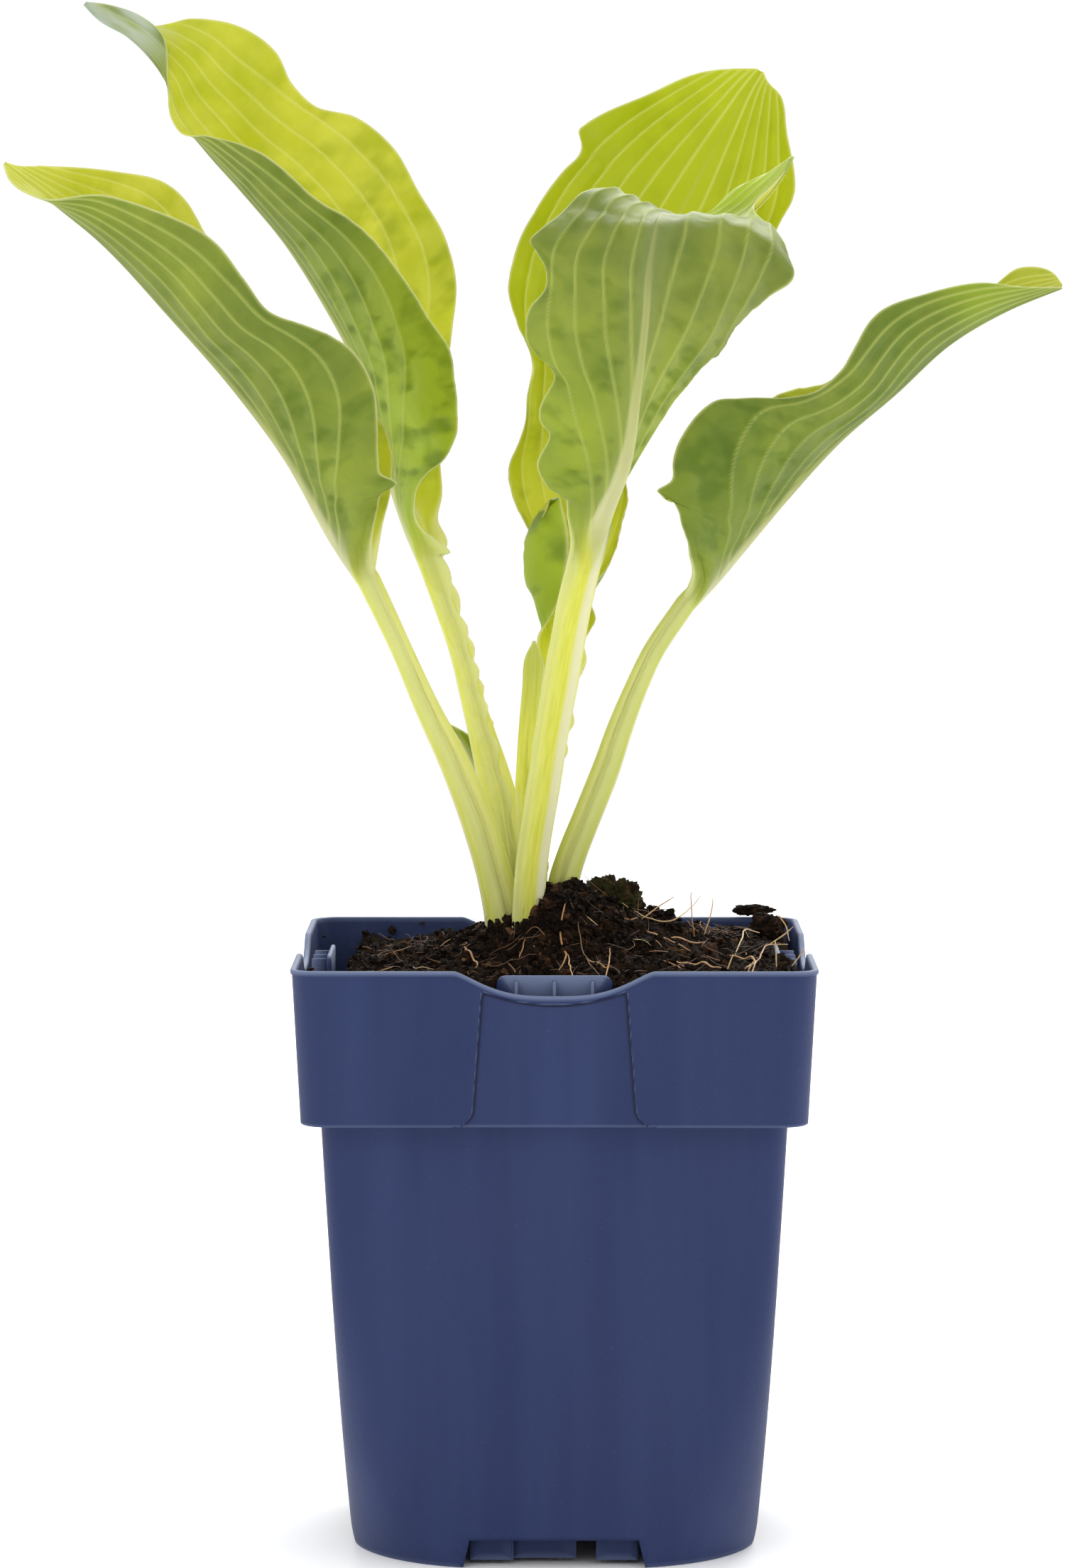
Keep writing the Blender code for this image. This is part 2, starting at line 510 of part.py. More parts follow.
def build_soil(collection, cutters):
    """A block of peat with a lumpy top, trimmed to the inside of the pot."""
    half = COLLAR_FOOT_HALF - COLLAR_WALL - GAP
    wide = half + 2
    side = np.linspace(-wide, wide, SOIL_CELLS + 1)
    x, y = np.meshgrid(side, side, indexing="ij")
    count = SOIL_CELLS + 1
    top = np.stack([x, y, soil_height(x, y)], -1).reshape(-1, 3) * MM
    low = np.stack([x, y, np.full_like(x, FLOOR_TOP - 5)], -1).reshape(-1, 3) * MM
    index = np.arange(count * count).reshape(count, count)
    faces = []
    for sheet in (index, index + count * count):
        near, right, far, left = sheet[:-1, :-1], sheet[1:, :-1], sheet[1:, 1:], sheet[:-1, 1:]
        faces += np.stack([near, right, far], -1).reshape(-1, 3).tolist()
        faces += np.stack([near, far, left], -1).reshape(-1, 3).tolist()
    edge = np.concatenate([index[0, :], index[1:, -1], index[-1, -2::-1], index[-2:0:-1, 0]])
    after = np.roll(edge, -1)
    faces += np.stack([edge, after, after + count * count, edge + count * count], -1).tolist()
    block = add_mesh("potting_soil", np.concatenate([top, low]), faces, collection, "peat")
    inside = GAP + BODY_WALL
    shoulder = COLLAR_FOOT_Z + SHOULDER + GAP
    levels = (FLOOR_TOP + GAP,) + BODY_LEVELS[1:] + (shoulder,)
    rings = [square_ring(body_half(z) - inside, body_radius(z) - inside, z) for z in levels]
    rings += [square_ring(half, COLLAR_RADIUS - COLLAR_WALL - GAP, shoulder),
              square_ring(half, COLLAR_RADIUS - COLLAR_WALL - GAP, POT_HEIGHT + 40)]
    mould = loft("soil_mould", rings, cutters)
    hide_cutter(mould)
    carve(block, mould, "INTERSECT")
    for turn in QUARTER_TURNS:
        slot = box("tab_room", (0, -TAB_INSET - 4 + TAB_THICKNESS + GAP, (shoulder + POT_HEIGHT) / 2 + 10),
                   (2 * (TAB_HALF_WIDTH + GAP), 8, POT_HEIGHT - shoulder + 24), cutters, turn)
        hide_cutter(slot)
        carve(block, slot)
    return block


def oval_stub(name, low, high, foot_radii, top_radii, collection, finish=None):
    """An upright oval stub of the crown's plan, from a foot section to a narrower or equal top."""
    rings = []
    angles = np.linspace(0, 2 * pi, OVAL_STEPS, endpoint=False)
    for z, radii in ((low, foot_radii), ((low + high) / 2, foot_radii), (high, top_radii)):
        x = CROWN_CENTRE[0] + radii[0] * np.cos(angles)
        y = CROWN_CENTRE[1] + radii[1] * np.sin(angles)
        rings.append(np.column_stack([x, y, np.full(OVAL_STEPS, z)]) * MM)
    return loft(name, rings, collection, finish)


def build_crown(soil, collection, cutters):
    crown = oval_stub("crown", CROWN_FOOT, CROWN_TOP, CROWN_FOOT_RADII, CROWN_TOP_RADII, collection,
                      "stalk_cream")
    room = [r + GAP for r in CROWN_FOOT_RADII]
    pocket = oval_stub("crown_pocket", CROWN_FOOT - GAP, CROWN_TOP + 30, room, room, cutters)
    hide_cutter(pocket)
    carve(soil, pocket)
    return crown


def build_clods(soil, collection, cutters):
    """Loose clods, each in a hollow of its own in the peat."""
    for name, x, y, z, radii in CLODS:
        for scale, label, target in ((1.0, name, collection), (CLOD_HOLLOW, name + "_hollow", cutters)):
            shaping = bmesh.new()
            bmesh.ops.create_icosphere(shaping, subdivisions=2, radius=1.0)
            for vert in shaping.verts:
                swell = 1 + CLOD_SWELL * sin(3 * vert.co.x + x) * cos(2.6 * vert.co.y + y)
                swell += CLOD_RIPPLE * sin(5 * vert.co.z)
                vert.co = [c * r * swell * scale for c, r in zip(vert.co, radii)]
            bmesh.ops.translate(shaping, vec=(x, y, z), verts=shaping.verts)
            bmesh.ops.scale(shaping, vec=(MM, MM, MM), verts=shaping.verts)
            mesh = bpy.data.meshes.new(label)
            shaping.to_mesh(mesh)
            shaping.free()
            item = bpy.data.objects.new(label, mesh)
            target.objects.link(item)
        item.data.materials.clear()
        bpy.data.objects[name].data.materials.append(finish_material("peat"))
        hide_cutter(item)
        carve(soil, item)


def tube(name, points, radius, collection, finish=None, sides=2):
    """A thin rod along points in millimetres."""
    curve = bpy.data.curves.new(name, "CURVE")
    curve.dimensions = "3D"
    curve.bevel_depth = radius * MM
    curve.bevel_resolution = sides
    curve.use_fill_caps = True
    spline = curve.splines.new("POLY")
    spline.points.add(len(points) - 1)
    for point, place in zip(spline.points, points):
        point.co = (place[0] * MM, place[1] * MM, place[2] * MM, 1)
    item = bpy.data.objects.new(name, curve)
    collection.objects.link(item)
    if finish:
        curve.materials.append(finish_material(finish))
    return item


def build_straws(collection):
    """Straws that follow the top of the peat, just clear of it."""
    for name, plan in STRAWS:
        plan = np.array(plan, float)
        places = follow(np.column_stack([plan, np.zeros(len(plan))]), np.linspace(0, 1, 9))
        heights = soil_height(places[:, 0], places[:, 1]) + STRAW_LIFT
        tube(name, np.column_stack([places[:, :2], heights]), STRAW_RADIUS, collection, "straw_fibre", 0)


def unit(vectors):
    return vectors / np.maximum(np.linalg.norm(vectors, axis=-1, keepdims=True), 1e-9)


def follow(points, fractions):
    """A smooth curve through hand-set points, read at fractions of its length.

    Each span is a cubic whose end slopes are weighted means of the spans on both sides.
    """
    points = np.array(points, float)
    spans = np.linalg.norm(np.diff(points[:, :3], axis=0), axis=1)
    marks = np.concatenate([[0], np.cumsum(spans)]) / spans.sum()
    slopes = np.gradient(points, marks, axis=0)
    at = np.clip(np.searchsorted(marks, fractions, side="right") - 1, 0, len(marks) - 2)
    span = (marks[at + 1] - marks[at])[:, None]
    s = (fractions - marks[at])[:, None] / span
    return ((2 * s ** 3 - 3 * s ** 2 + 1) * points[at] + (s ** 3 - 2 * s ** 2 + s) * span * slopes[at]
            + (3 * s ** 2 - 2 * s ** 3) * points[at + 1] + (s ** 3 - s ** 2) * span * slopes[at + 1])


def ease(x):
    x = np.clip(x, 0, 1)
    return x * x * (3 - 2 * x)


def leaf_guides(leaf, stalk_at, blade_at):
    """Midrib, left edge, right edge, stalk width and blade fraction at every row of a leaf."""
    stalk = follow(leaf["stalk"], stalk_at)
    centre, width = stalk[:, :3], stalk[:, 3:]
    along = unit(np.gradient(centre, axis=0))
    along[0] = (0, 0, 1)
    upper = unit(np.cross(np.array(leaf["right_way"], float), along))
    side = np.cross(along, upper)
    rib = centre - upper * width * STALK_CHANNEL
    right = centre + (side * (0.5 - STALK_CHANNEL) + upper * STALK_CHANNEL) * width
    left = centre - (side * (0.5 - STALK_CHANNEL) - upper * STALK_CHANNEL) * width
    guides = []
    for base, name in ((rib, "rib"), (left, "left"), (right, "right")):
        blade = follow(np.concatenate([base[-1:], np.array(leaf[name], float)]), blade_at[1:])
        guides.append(np.concatenate([base, blade]))
    width = np.concatenate([width[:, 0], np.full(len(blade_at) - 1, width[-1, 0])])
    fraction = np.concatenate([np.zeros(len(stalk_at)), blade_at[1:]])
    return guides[0], guides[1], guides[2], width, fraction


def leaf_faces(leaf, stalk_at, blade_at, across):
    """Under and upper faces of a leaf, each a grid of points, rows along it and columns across it.

    Each half is a quadratic curve from the midrib to its edge, bowed to the underside by its cup.
    The faces lie off that sheet along its normal: an oval in the stalk, a thin sheet with a
    thicker midrib in the blade.
    """
    rib, left, right, width, fraction = leaf_guides(leaf, stalk_at, blade_at)
    along = unit(np.gradient(rib, axis=0))
    across = np.array(across)
    sheet = np.zeros((len(rib), len(across), 3))
    for edge, sign, cup in ((left, -1, "cup_left"), (right, 1, "cup_right")):
        chord = edge - rib
        under = -unit(np.cross(sign * chord, along))
        bow = np.interp(fraction, np.linspace(0, 1, len(leaf[cup])), leaf[cup])
        pull = (rib + edge) / 2 + 2 * under * (bow * np.linalg.norm(chord, axis=1))[:, None]
        columns = np.nonzero(across * sign >= 0)[0]
        s = np.abs(across[columns])[None, :, None]
        ends = (1 - s) ** 2 * rib[:, None] + s ** 2 * edge[:, None]
        sheet[:, columns] = ends + 2 * s * (1 - s) * pull[:, None]
    upper = unit(np.cross(np.gradient(sheet, axis=1), np.gradient(sheet, axis=0)))
    v = across[None, :]
    oval = STALK_DEPTH * width[:, None] * np.sqrt(1 - (STALK_ROUNDS_TO * v) ** 2)
    rib_rise = (STALK_DEPTH * width * (1 - fraction) ** 1.5 + RIB_THICKNESS_AT_TIP)[:, None]
    ridge = rib_rise * np.exp(-(v / RIB_SPREAD) ** 2)
    start = ease(fraction / BLADE_STARTS_OVER)[:, None]
    below = (1 - start) * oval / 2 + start * (BLADE_THICKNESS / 2 + RIDGE_BELOW * ridge)
    above = (1 - start) * oval / 2 + start * (BLADE_THICKNESS / 2 + RIDGE_ABOVE * ridge)
    return sheet - upper * below[..., None], sheet + upper * above[..., None]


def build_leaf(name, leaf, collection):
    """One closed solid for a stalk and its blade: a loft of unlike sections with a pointed tip."""
    small = name in SMALL_LEAVES
    stalk_at = np.linspace(0, 1, SMALL_LEAF_ROWS - 2 if small else STALK_ROWS)
    blade_at = np.linspace(0, BLADE_END, SMALL_LEAF_ROWS if small else BLADE_ROWS)
    under, upper = leaf_faces(leaf, stalk_at, blade_at, ACROSS)
    rings = np.concatenate([under, upper[:, ::-1]], axis=1)
    rows, count = rings.shape[:2]
    tip = np.array(leaf["rib"][-1], float)[None]
    verts = np.concatenate([rings.reshape(-1, 3), tip]) * MM
    faces = [tuple(range(count))]
    for row in range(rows - 1):
        for k in range(count):
            a, b = row * count + k, row * count + (k + 1) % count
            faces.append((a, b, b + count, a + count))
    last = (rows - 1) * count
    faces += [(last + k, last + (k + 1) % count, rows * count) for k in range(count)]
    return add_mesh(name, verts, faces, collection, "leaf_green")


def stalk_pocket(soil, leaf, collection):
    """Make room in the peat for the foot of a stalk that rises straight out of it."""
    start, low = np.array(leaf["stalk"][0]), np.array(leaf["stalk"][1])
    down = start - (low - start) * 0.25
    up = low + (low - start) * 0.6
    radius = 0.62 * max(start[3], low[3]) + GAP
    cutter = tube("stalk_pocket", (down[:3], start[:3], low[:3], up[:3]), radius, collection, None, 3)
    solid = merged_copy(cutter, "stalk_pocket_solid", Matrix.Identity(4), collection)
    hide_cutter(solid)
    carve(soil, solid)


def main():
    clear_scene()
    plant = new_collection("potted_hosta")
    cutters = new_collection("cutters")
    build_pot(plant, cutters)
    soil = build_soil(plant, cutters)
    build_crown(soil, plant, cutters)
    build_clods(soil, plant, cutters)
    for name in ("leaf_right", "leaf_front"):
        stalk_pocket(soil, LEAVES[name], cutters)
    build_straws(plant)
    for name, leaf in LEAVES.items():
        build_leaf(name, leaf, plant)
    bpy.data.collections.remove(cutters)


main()
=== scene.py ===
"""Potted hosta, the finished looks: a navy nursery pot, its peat and a young hosta.

Everything is worked out in millimetres and put into the meshes in metres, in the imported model's frame:
+Z up, -Y the front, the origin on the ground under the middle of the pot.
"""
from itertools import product
from math import cos, pi, sin
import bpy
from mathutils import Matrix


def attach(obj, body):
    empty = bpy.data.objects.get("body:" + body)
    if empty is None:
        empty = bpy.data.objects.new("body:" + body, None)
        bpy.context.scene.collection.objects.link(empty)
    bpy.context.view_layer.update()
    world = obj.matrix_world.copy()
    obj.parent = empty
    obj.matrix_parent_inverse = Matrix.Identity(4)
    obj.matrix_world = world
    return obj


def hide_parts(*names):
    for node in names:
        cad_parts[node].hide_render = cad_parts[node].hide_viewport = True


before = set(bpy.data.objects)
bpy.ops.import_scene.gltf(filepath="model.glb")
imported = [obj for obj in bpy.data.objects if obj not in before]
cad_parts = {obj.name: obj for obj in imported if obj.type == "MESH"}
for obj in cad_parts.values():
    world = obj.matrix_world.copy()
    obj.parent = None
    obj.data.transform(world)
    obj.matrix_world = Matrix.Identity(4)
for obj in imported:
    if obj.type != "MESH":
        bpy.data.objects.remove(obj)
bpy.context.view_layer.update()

from types import SimpleNamespace

import bmesh
import bpy
import numpy as np
from mathutils import Vector

MM = 0.001
QUARTER_TURNS = (0, pi / 2, pi, 3 * pi / 2)

# ---------------------------------------------------------------- the pot
POT_HEIGHT = 153.4
RIM_HALF = 66.0
COLLAR_FOOT_HALF = 63.6
COLLAR_FOOT_Z = 114.0
COLLAR_RADIUS = 7.0
COLLAR_WALL = 1.6
SHOULDER = 1.4
BODY_TOP_HALF = 58.6
BASE_HALF = 52.3
BODY_WALL = 1.05
BODY_RADIUS = 5.0
BASE_EXTRA_RADIUS = 33.0
RADIUS_FADES_AT = 100.0
RADIUS_POWER = 2.6
FLOOR_UNDERSIDE = 8.0
FLOOR_TOP = 9.2
LIP_OUT = 0.4
LIP_HEIGHT = 1.2
DIP_DEPTH = 6.2
DIP_HALF_WIDTH = 25.0
BAND_LOW_Z = 145.0
BAND_RISE = 3.3
CHANNEL_TOP_HALF = 17.8
CHANNEL_LOW_HALF = 20.3
CHANNEL_FLARE = 5.0
CHANNEL_DEPTH = 0.75
CHANNEL_EDGE = 0.4
# spread of the soft channel share that places the painted shade line
CREASE_SHADE_SPREAD = 3.0
TAB_HALF_WIDTH = 14.5
TAB_INSET = 58.6
TAB_THICKNESS = 1.1
TAB_TOP = 151.6
RIB_PLACES = (-9.5, 0.0, 9.5)
RIB_THICKNESS = 0.8
RIB_TOP = 150.4
NOTCH_TOP_HALF = 21.4
NOTCH_FOOT_HALF = 23.3
NOTCH_HEIGHT = 7.3
SKIRT_FOOT = 1.2
SKIRT_THICKNESS = 1.2
SKIRT_PANELS = ((-16.1, 10.5, 47.2), (-2.7, 16.6, 45.0), (15.9, 10.6, 47.2))
SKIRT_RETURN_X = -10.9
DRAIN_RADIUS = 4.0
DRAIN_RING = 32.0
DRAIN_COUNT = 8

# ---------------------------------------------------------------- the peat
GAP = 0.4
SOIL_LEVEL = 149.8
LEFT_GAP_STARTS = -51.5
LEFT_GAP_RUN = 5.0
LEFT_GAP_DEPTH = 11.0
SOIL_LUMPS = (  # x, y, height, spread
    (8, 2, 9.0, 23), (3, -5, 10.0, 9.5), (-2.5, -19, 9.0, 5.5), (-15, -17, 4.5, 6), (-21, 2, 3.0, 6),
    (-45, 38, -4.5, 17), (-52, -30, -2.0, 12), (27, 4, 4.0, 5), (30, -30, 1.0, 12), (55, 4, 1.0, 9),
    (-30, -32, 1.0, 9), (-5, -46, -1.0, 12),
)

# ---------------------------------------------------------------- the leaves
# Each leaf: its stalk as x, y, z, width and depth from below the peat up, the height of the stalk's thin
# wings from foot to top, their scallops' height and length and how far they turn outward, then guide points
# along the blade's midrib and both edges, and how deep each half is cupped from foot to tip.
LEAVES = {
    "leaf_left": {
        "right_way": (0, 1, 0),
        "stalk": ((-11.6, -12.6, 149, 9.4, 10.6), (-12.4, -13, 160, 9.2, 9.9), (-14.7, -14.2, 171, 8.2, 9.0),
                  (-19.1, -16.2, 186, 7.6, 8.5), (-24.9, -18, 200.7, 7.0, 7.5), (-32.7, -20.4, 217, 6.2, 6.1),
                  (-39, -22.9, 231.6, 5.8, 5.3), (-42.8, -24.4, 240, 5.8, 5.5), (-47, -26, 249, 5.8, 5.8)),
        "wing": (0.0, 0.2, 0.3, 0.5, 0.9, 1.6), "scallop": (0.15, 17.0), "wing_turn": 0.2,
        "rib": ((-56, -30, 263), (-66, -34, 280), (-79, -38, 297), (-96, -42, 316), (-114, -46, 335),
                (-125, -49, 344), (-132, -51, 350), (-137, -52, 354)),
        "left": ((-46, -35, 257), (-44.5, -43, 267), (-43, -47, 271.5), (-39.3, -49.5, 274),
                 (-43.5, -50, 276.3), (-44, -51, 280), (-44, -54, 288),
                 (-45, -56, 298), (-50, -58, 307), (-61, -60, 313), (-71, -61, 317), (-77, -61, 325),
                 (-83, -61, 333), (-95, -61, 340), (-111, -59, 345), (-128, -57, 345), (-135, -54, 349),
                 (-137, -52, 354)),
        "right": ((-44, -15, 263), (-42, -8, 273), (-42, -4, 280), (-45, -2, 289), (-51, -2, 297),
                  (-60, -3, 306), (-70, -5, 313), (-79, -8, 321), (-87, -11, 332), (-92, -16, 342),
                  (-98, -23, 349), (-111, -33, 352), (-127, -45, 353), (-134, -50, 353),
                  (-137, -52, 354)),
        "cup_left": (0.05, 0.12, 0.14, 0.14, 0.1, 0.05),
        "cup_right": (0.05, 0.12, 0.14, 0.14, 0.1, 0.05),
    },
    "leaf_back_left": {
        "right_way": (0, 1, 0),
        "stalk": ((-9.5, -5.6, 149, 8.0, 9.6), (-10.4, -5.2, 163, 8.0, 9.6), (-11.6, -4.6, 177.6, 8.0, 9.6),
                  (-14.2, -2.4, 192, 7.6, 9.1), (-16.1, -0.9, 199.4, 7.2, 8.2), (-18.2, 0.6, 206.7, 6.8, 7.0),
                  (-20.8, 2.7, 215.6, 6.4, 6.0), (-24.6, 5.8, 230, 6.0, 5.5), (-29.2, 8.8, 243, 6.0, 5.5),
                  (-32.6, 11, 252, 6.0, 5.5)),
        "wing": (0.2, 1.0, 2.0, 2.4, 2.6, 2.9, 3.8), "scallop": (0.95, 12.5), "wing_turn": 0.25,
        "rib": ((-36, 13, 260), (-43, 18, 279), (-52, 23, 306), (-60, 26, 320), (-70, 29, 335),
                (-82, 32, 349), (-92, 34, 360), (-99, 36, 369), (-102, 38, 377), (-113, 40, 390),
                (-120, 40, 394), (-125, 40, 399)),
        "left": ((-27.2, 7, 254.5), (-30.5, 6, 258), (-33.5, 4.5, 260), (-36, 3, 263.5), (-36.5, 1, 269),
                 (-34, -1, 274.5), (-29.5, -3.5, 279), (-26, -5, 284), (-25, -8, 292), (-26, -9, 300),
                 (-28, -9, 309), (-33, -8, 316), (-42, -4, 330), (-52, 1, 340), (-63, 7, 347),
                 (-76, 15, 358), (-91, 26, 363), (-98, 31, 364), (-101, 34, 368), (-102, 38, 378),
                 (-104, 40, 391), (-109, 41, 395), (-117, 41, 398), (-125, 40, 399)),
        "right": ((-28, 14, 257), (-30.5, 17, 263), (-29.5, 20, 269), (-30, 24, 277), (-30, 29, 287),
                  (-27, 37, 313), (-26, 40, 325), (-29, 43, 337), (-36, 46, 349), (-43, 48, 361),
                  (-53, 49, 369), (-64, 50, 372), (-70, 51, 378), (-74, 51, 386), (-84, 51, 393),
                  (-96, 50, 395), (-107, 47, 393), (-116, 44, 397), (-125, 40, 399)),
        "cup_left": (0.05, 0.1, 0.12, 0.12, 0.08, 0.04),
        "cup_right": (0.05, 0.1, 0.12, 0.12, 0.1, 0.04),
    },
    "leaf_front": {
        "right_way": (-0.85, -0.5, 0),
        "stalk": ((-7.0, -17.2, 149, 8.6, 8.0), (-6.9, -18.0, 160, 8.0, 7.4), (-6.5, -19, 169.7, 7.7, 7.0),
                  (-5.6, -20.4, 179, 7.7, 6.8), (-3.2, -24.5, 194, 7.8, 6.6), (-1.0, -30, 209, 8.0, 6.4),
                  (1.8, -36.9, 224.5, 8.2, 6.0), (4.6, -44.4, 240.6, 7.8, 5.6), (7.5, -51, 253, 7.2, 5.2)),
        "wing": (0.0, 0.6, 0.9, 1.0, 1.2, 1.8), "scallop": (0.1, 15.0), "wing_turn": 0.5,
        "rib": ((12, -62, 267), (17, -70, 280), (20, -79, 298), (22, -87, 315), (23, -91, 328),
                (24.5, -89, 336), (26, -80, 339.5), (33, -69, 339), (43, -59, 338), (49, -52, 341),
                (54, -46, 346), (57, -42, 350), (60, -36, 356)),
        "left": ((14, -50, 264), (17, -50, 277), (25, -52, 289), (32, -55, 298), (42, -60, 308),
                 (49, -66, 317), (58.6, -72, 325), (58.3, -67, 330.6), (54.5, -61, 336.5), (49.5, -55, 341.5),
                 (50, -50, 344), (54, -45, 348), (59, -38, 354), (60, -36, 356)),
        "right": ((4, -52, 259), (3, -54, 267), (3, -55, 271), (-2, -58, 273), (-4, -62, 280),
                  (-2, -65, 286), (-4, -67, 292), (-1, -70, 301), (-6, -72, 307), (-7, -72, 315),
                  (-2, -74, 326), (-6.4, -70, 334.4), (-2.5, -68, 337.7), (0.3, -66, 340.6),
                  (3.1, -63, 343.2), (7, -60, 346.1), (11, -57, 347.6), (13.6, -55, 348), (17, -52, 343.5),
                  (22, -47, 338), (33, -39, 339), (46, -37, 348), (54, -37, 352), (60, -36, 356)),
        "cup_left": (0.05, 0.1, 0.14, 0.18, 0.12, 0.05),
        "cup_right": (0.05, 0.1, 0.12, -0.03, 0.05, 0.05),
    },
    "leaf_back": {
        "right_way": (1, 0, 0),
        "stalk": ((-5.2, -0.4, 149, 6.4, 6.0), (-5.2, 0.8, 160.5, 6.0, 5.6), (-5, 1.5, 173, 5.8, 5.4),
                  (-4, 4, 188, 5.8, 5.2), (-2, 8, 202, 5.6, 5.0), (0, 12, 213, 5.4, 4.8)),
        "wing": (0.0, 0.0, 0.0, 0.8, 2.0, 2.8), "scallop": (0.7, 9.0), "wing_turn": 1.1,
        "rib": ((2, 18, 226), (5, 28, 241), (9, 38, 261), (12, 48, 279), (17, 60, 302), (24, 70, 325),
                (35, 79, 346), (47, 87, 368), (54, 92, 380), (57, 93, 384)),
        "left": ((-3, 14, 223), (-4.5, 14, 232), (-1, 12, 238), (1, 9, 242), (3, 4, 251), (3, 1, 261),
                 (0.5, 3, 269), (-3, 9, 263), (-7, 20, 259), (-11, 26, 267), (-12, 30, 276), (-9, 34, 286),
                 (-7, 38, 295), (-6, 42, 303), (-10, 44, 314), (-13, 46, 322), (-11, 50, 332),
                 (-5, 56, 346), (2, 62, 355), (6.5, 66, 361), (5.8, 68, 366), (8, 71, 368), (14, 74, 371.5),
                 (26, 80, 377), (41, 88, 383), (50, 92, 384), (57, 93, 384)),
        "right": ((5, 13, 218), (8.4, 14, 227), (7.6, 14.5, 230), (11.2, 15, 237), (10, 16, 243),
                  (12.5, 18, 248), (17, 22, 257), (19.5, 27, 268), (19, 34, 278), (22, 38, 287),
                  (34, 45, 300), (45, 52, 313), (55, 58, 329), (60, 62, 339), (64, 66, 346), (65, 72, 357),
                  (63, 79, 368), (62, 86, 376), (58, 91, 381), (57, 93, 384)),
        "cup_left": (0.05, 0.24, 0.38, 0.46, 0.38, 0.16, 0.08, 0.1, 0.1, 0.11, 0.12, 0.12, 0.12, 0.12, 0.12,
                     0.11, 0.1, 0.09, 0.08, 0.06, 0.05),
        "cup_right": (0.05, 0.15, 0.14, 0.14, 0.12, 0.05),
    },
    "leaf_right": {
        "right_way": (0, -1, 0),
        "stalk": ((0.4, -0.7, 149, 8.2, 8.2), (1.0, -0.7, 161, 8.0, 8.0), (2.2, -0.8, 170, 7.8, 7.7),
                  (4.4, -0.4, 177, 7.6, 7.4), (7.6, 0.3, 185, 7.4, 7.2), (13.3, 4, 199, 7.0, 7.0),
                  (17.2, 6.9, 210, 6.6, 6.4), (20.7, 9.2, 218.5, 6.2, 5.8), (25.2, 11.6, 228, 6.0, 5.4),
                  (34, 15, 241, 5.6, 5.2)),
        "wing": (0.0, 0.3, 0.4, 0.5, 0.7, 1.4), "scallop": (0.1, 15.0), "wing_turn": 0.2,
        "rib": ((48, 20, 256), (60, 25, 269), (75, 31, 284), (90, 37, 296), (105, 42, 309),
                (121, 47, 318), (136, 50, 324)),
        "left": ((40, 30, 250), (44, 37, 262), (48, 43, 274), (52, 48, 285), (56, 52, 292), (62, 55, 296),
                 (73, 58, 298), (81, 60, 305), (91, 61, 313), (105, 60, 320), (117, 58, 324),
                 (125, 56, 329), (133, 53, 328), (136, 50, 324)),
        "right": ((36, 5, 250), (33, -2, 262), (30.5, -5.5, 268.5), (26.6, -7.5, 271), (30, -7, 273.5),
                  (31, -7, 280), (34, -6, 287), (41, -4, 294),
                  (50, 1, 295), (61, 7, 295), (69, 12, 297), (75, 15, 302), (79, 19, 309), (85, 24, 317),
                  (98, 31, 322), (113, 39, 325), (124, 45, 324), (136, 50, 324)),
        "cup_left": (0.05, 0.12, 0.14, 0.14, 0.1, 0.05),
        "cup_right": (0.05, 0.12, 0.14, 0.14, 0.1, 0.05),
    },
    "leaf_sheath": {
        "right_way": (0.6, 0.8, 0),
        "stalk": ((-13.8, 0.4, 152, 3.4, 2.6), (-14.2, 0.8, 162, 3.2, 2.6), (-15.5, 1.5, 176, 4.0, 2.6),
                  (-17.5, 2.5, 186, 5.0, 2.6)),
        "wing": (0.4, 0.8, 1.0), "scallop": (0.0, 9.0), "wing_turn": 1.3,
        "rib": ((-20, 3.5, 194), (-24, 4.5, 203), (-28.5, 5, 211)),
        "left": ((-23, 2, 194), (-28, 3, 203), (-28.5, 5, 211)),
        "right": ((-17.5, 5, 196), (-21, 6.5, 206), (-28.5, 5, 211)),
        "cup_left": (0.1, 0.1),
        "cup_right": (0.1, 0.1),
    },
    "leaf_young": {
        "right_way": (-1, 0, 0),
        "stalk": ((-5.4, -11, 152, 4.0, 3.4), (-5.4, -11.3, 162, 4.0, 3.4), (-6.8, -12, 178, 4.6, 3.4),
                  (-7.4, -13, 193, 5.0, 3.2)),
        "wing": (0.2, 0.3, 0.4), "scallop": (0.0, 9.0), "wing_turn": 0.6,
        "rib": ((-7, -14.6, 207), (-5.8, -15, 221), (-5.4, -15, 228), (-5.2, -14, 233)),
        "left": ((-4.6, -13, 207), (-3.5, -13, 221), (-3.2, -13.2, 228.5), (-5.2, -14, 233)),
        "right": ((-9.3, -13, 207), (-8.1, -13, 221), (-7.4, -13.2, 228.5), (-5.2, -14, 233)),
        "cup_left": (0.3, 0.3),
        "cup_right": (0.3, 0.3),
    },
}
FULL_GRID = (66, 200, 141)  # rows in the stalk, rows in the blade, columns from edge to edge
SMALL_GRID = (24, 50, 41)
SMALL_LEAVES = ("leaf_sheath", "leaf_young")
BLADE_ROW_POWER = 1.05
BLADE_END = 0.994
BLADE_THICKNESS = 0.42
BLADE_STARTS_OVER = 0.16


# ================================================================ shaping tools
def unit(vectors):
    return vectors / np.maximum(np.linalg.norm(vectors, axis=-1, keepdims=True), 1e-9)


def ease(x):
    """0 below 0, 1 above 1, and 3x^2 - 2x^3 in between."""
    x = np.clip(x, 0, 1)
    return x * x * (3 - 2 * x)


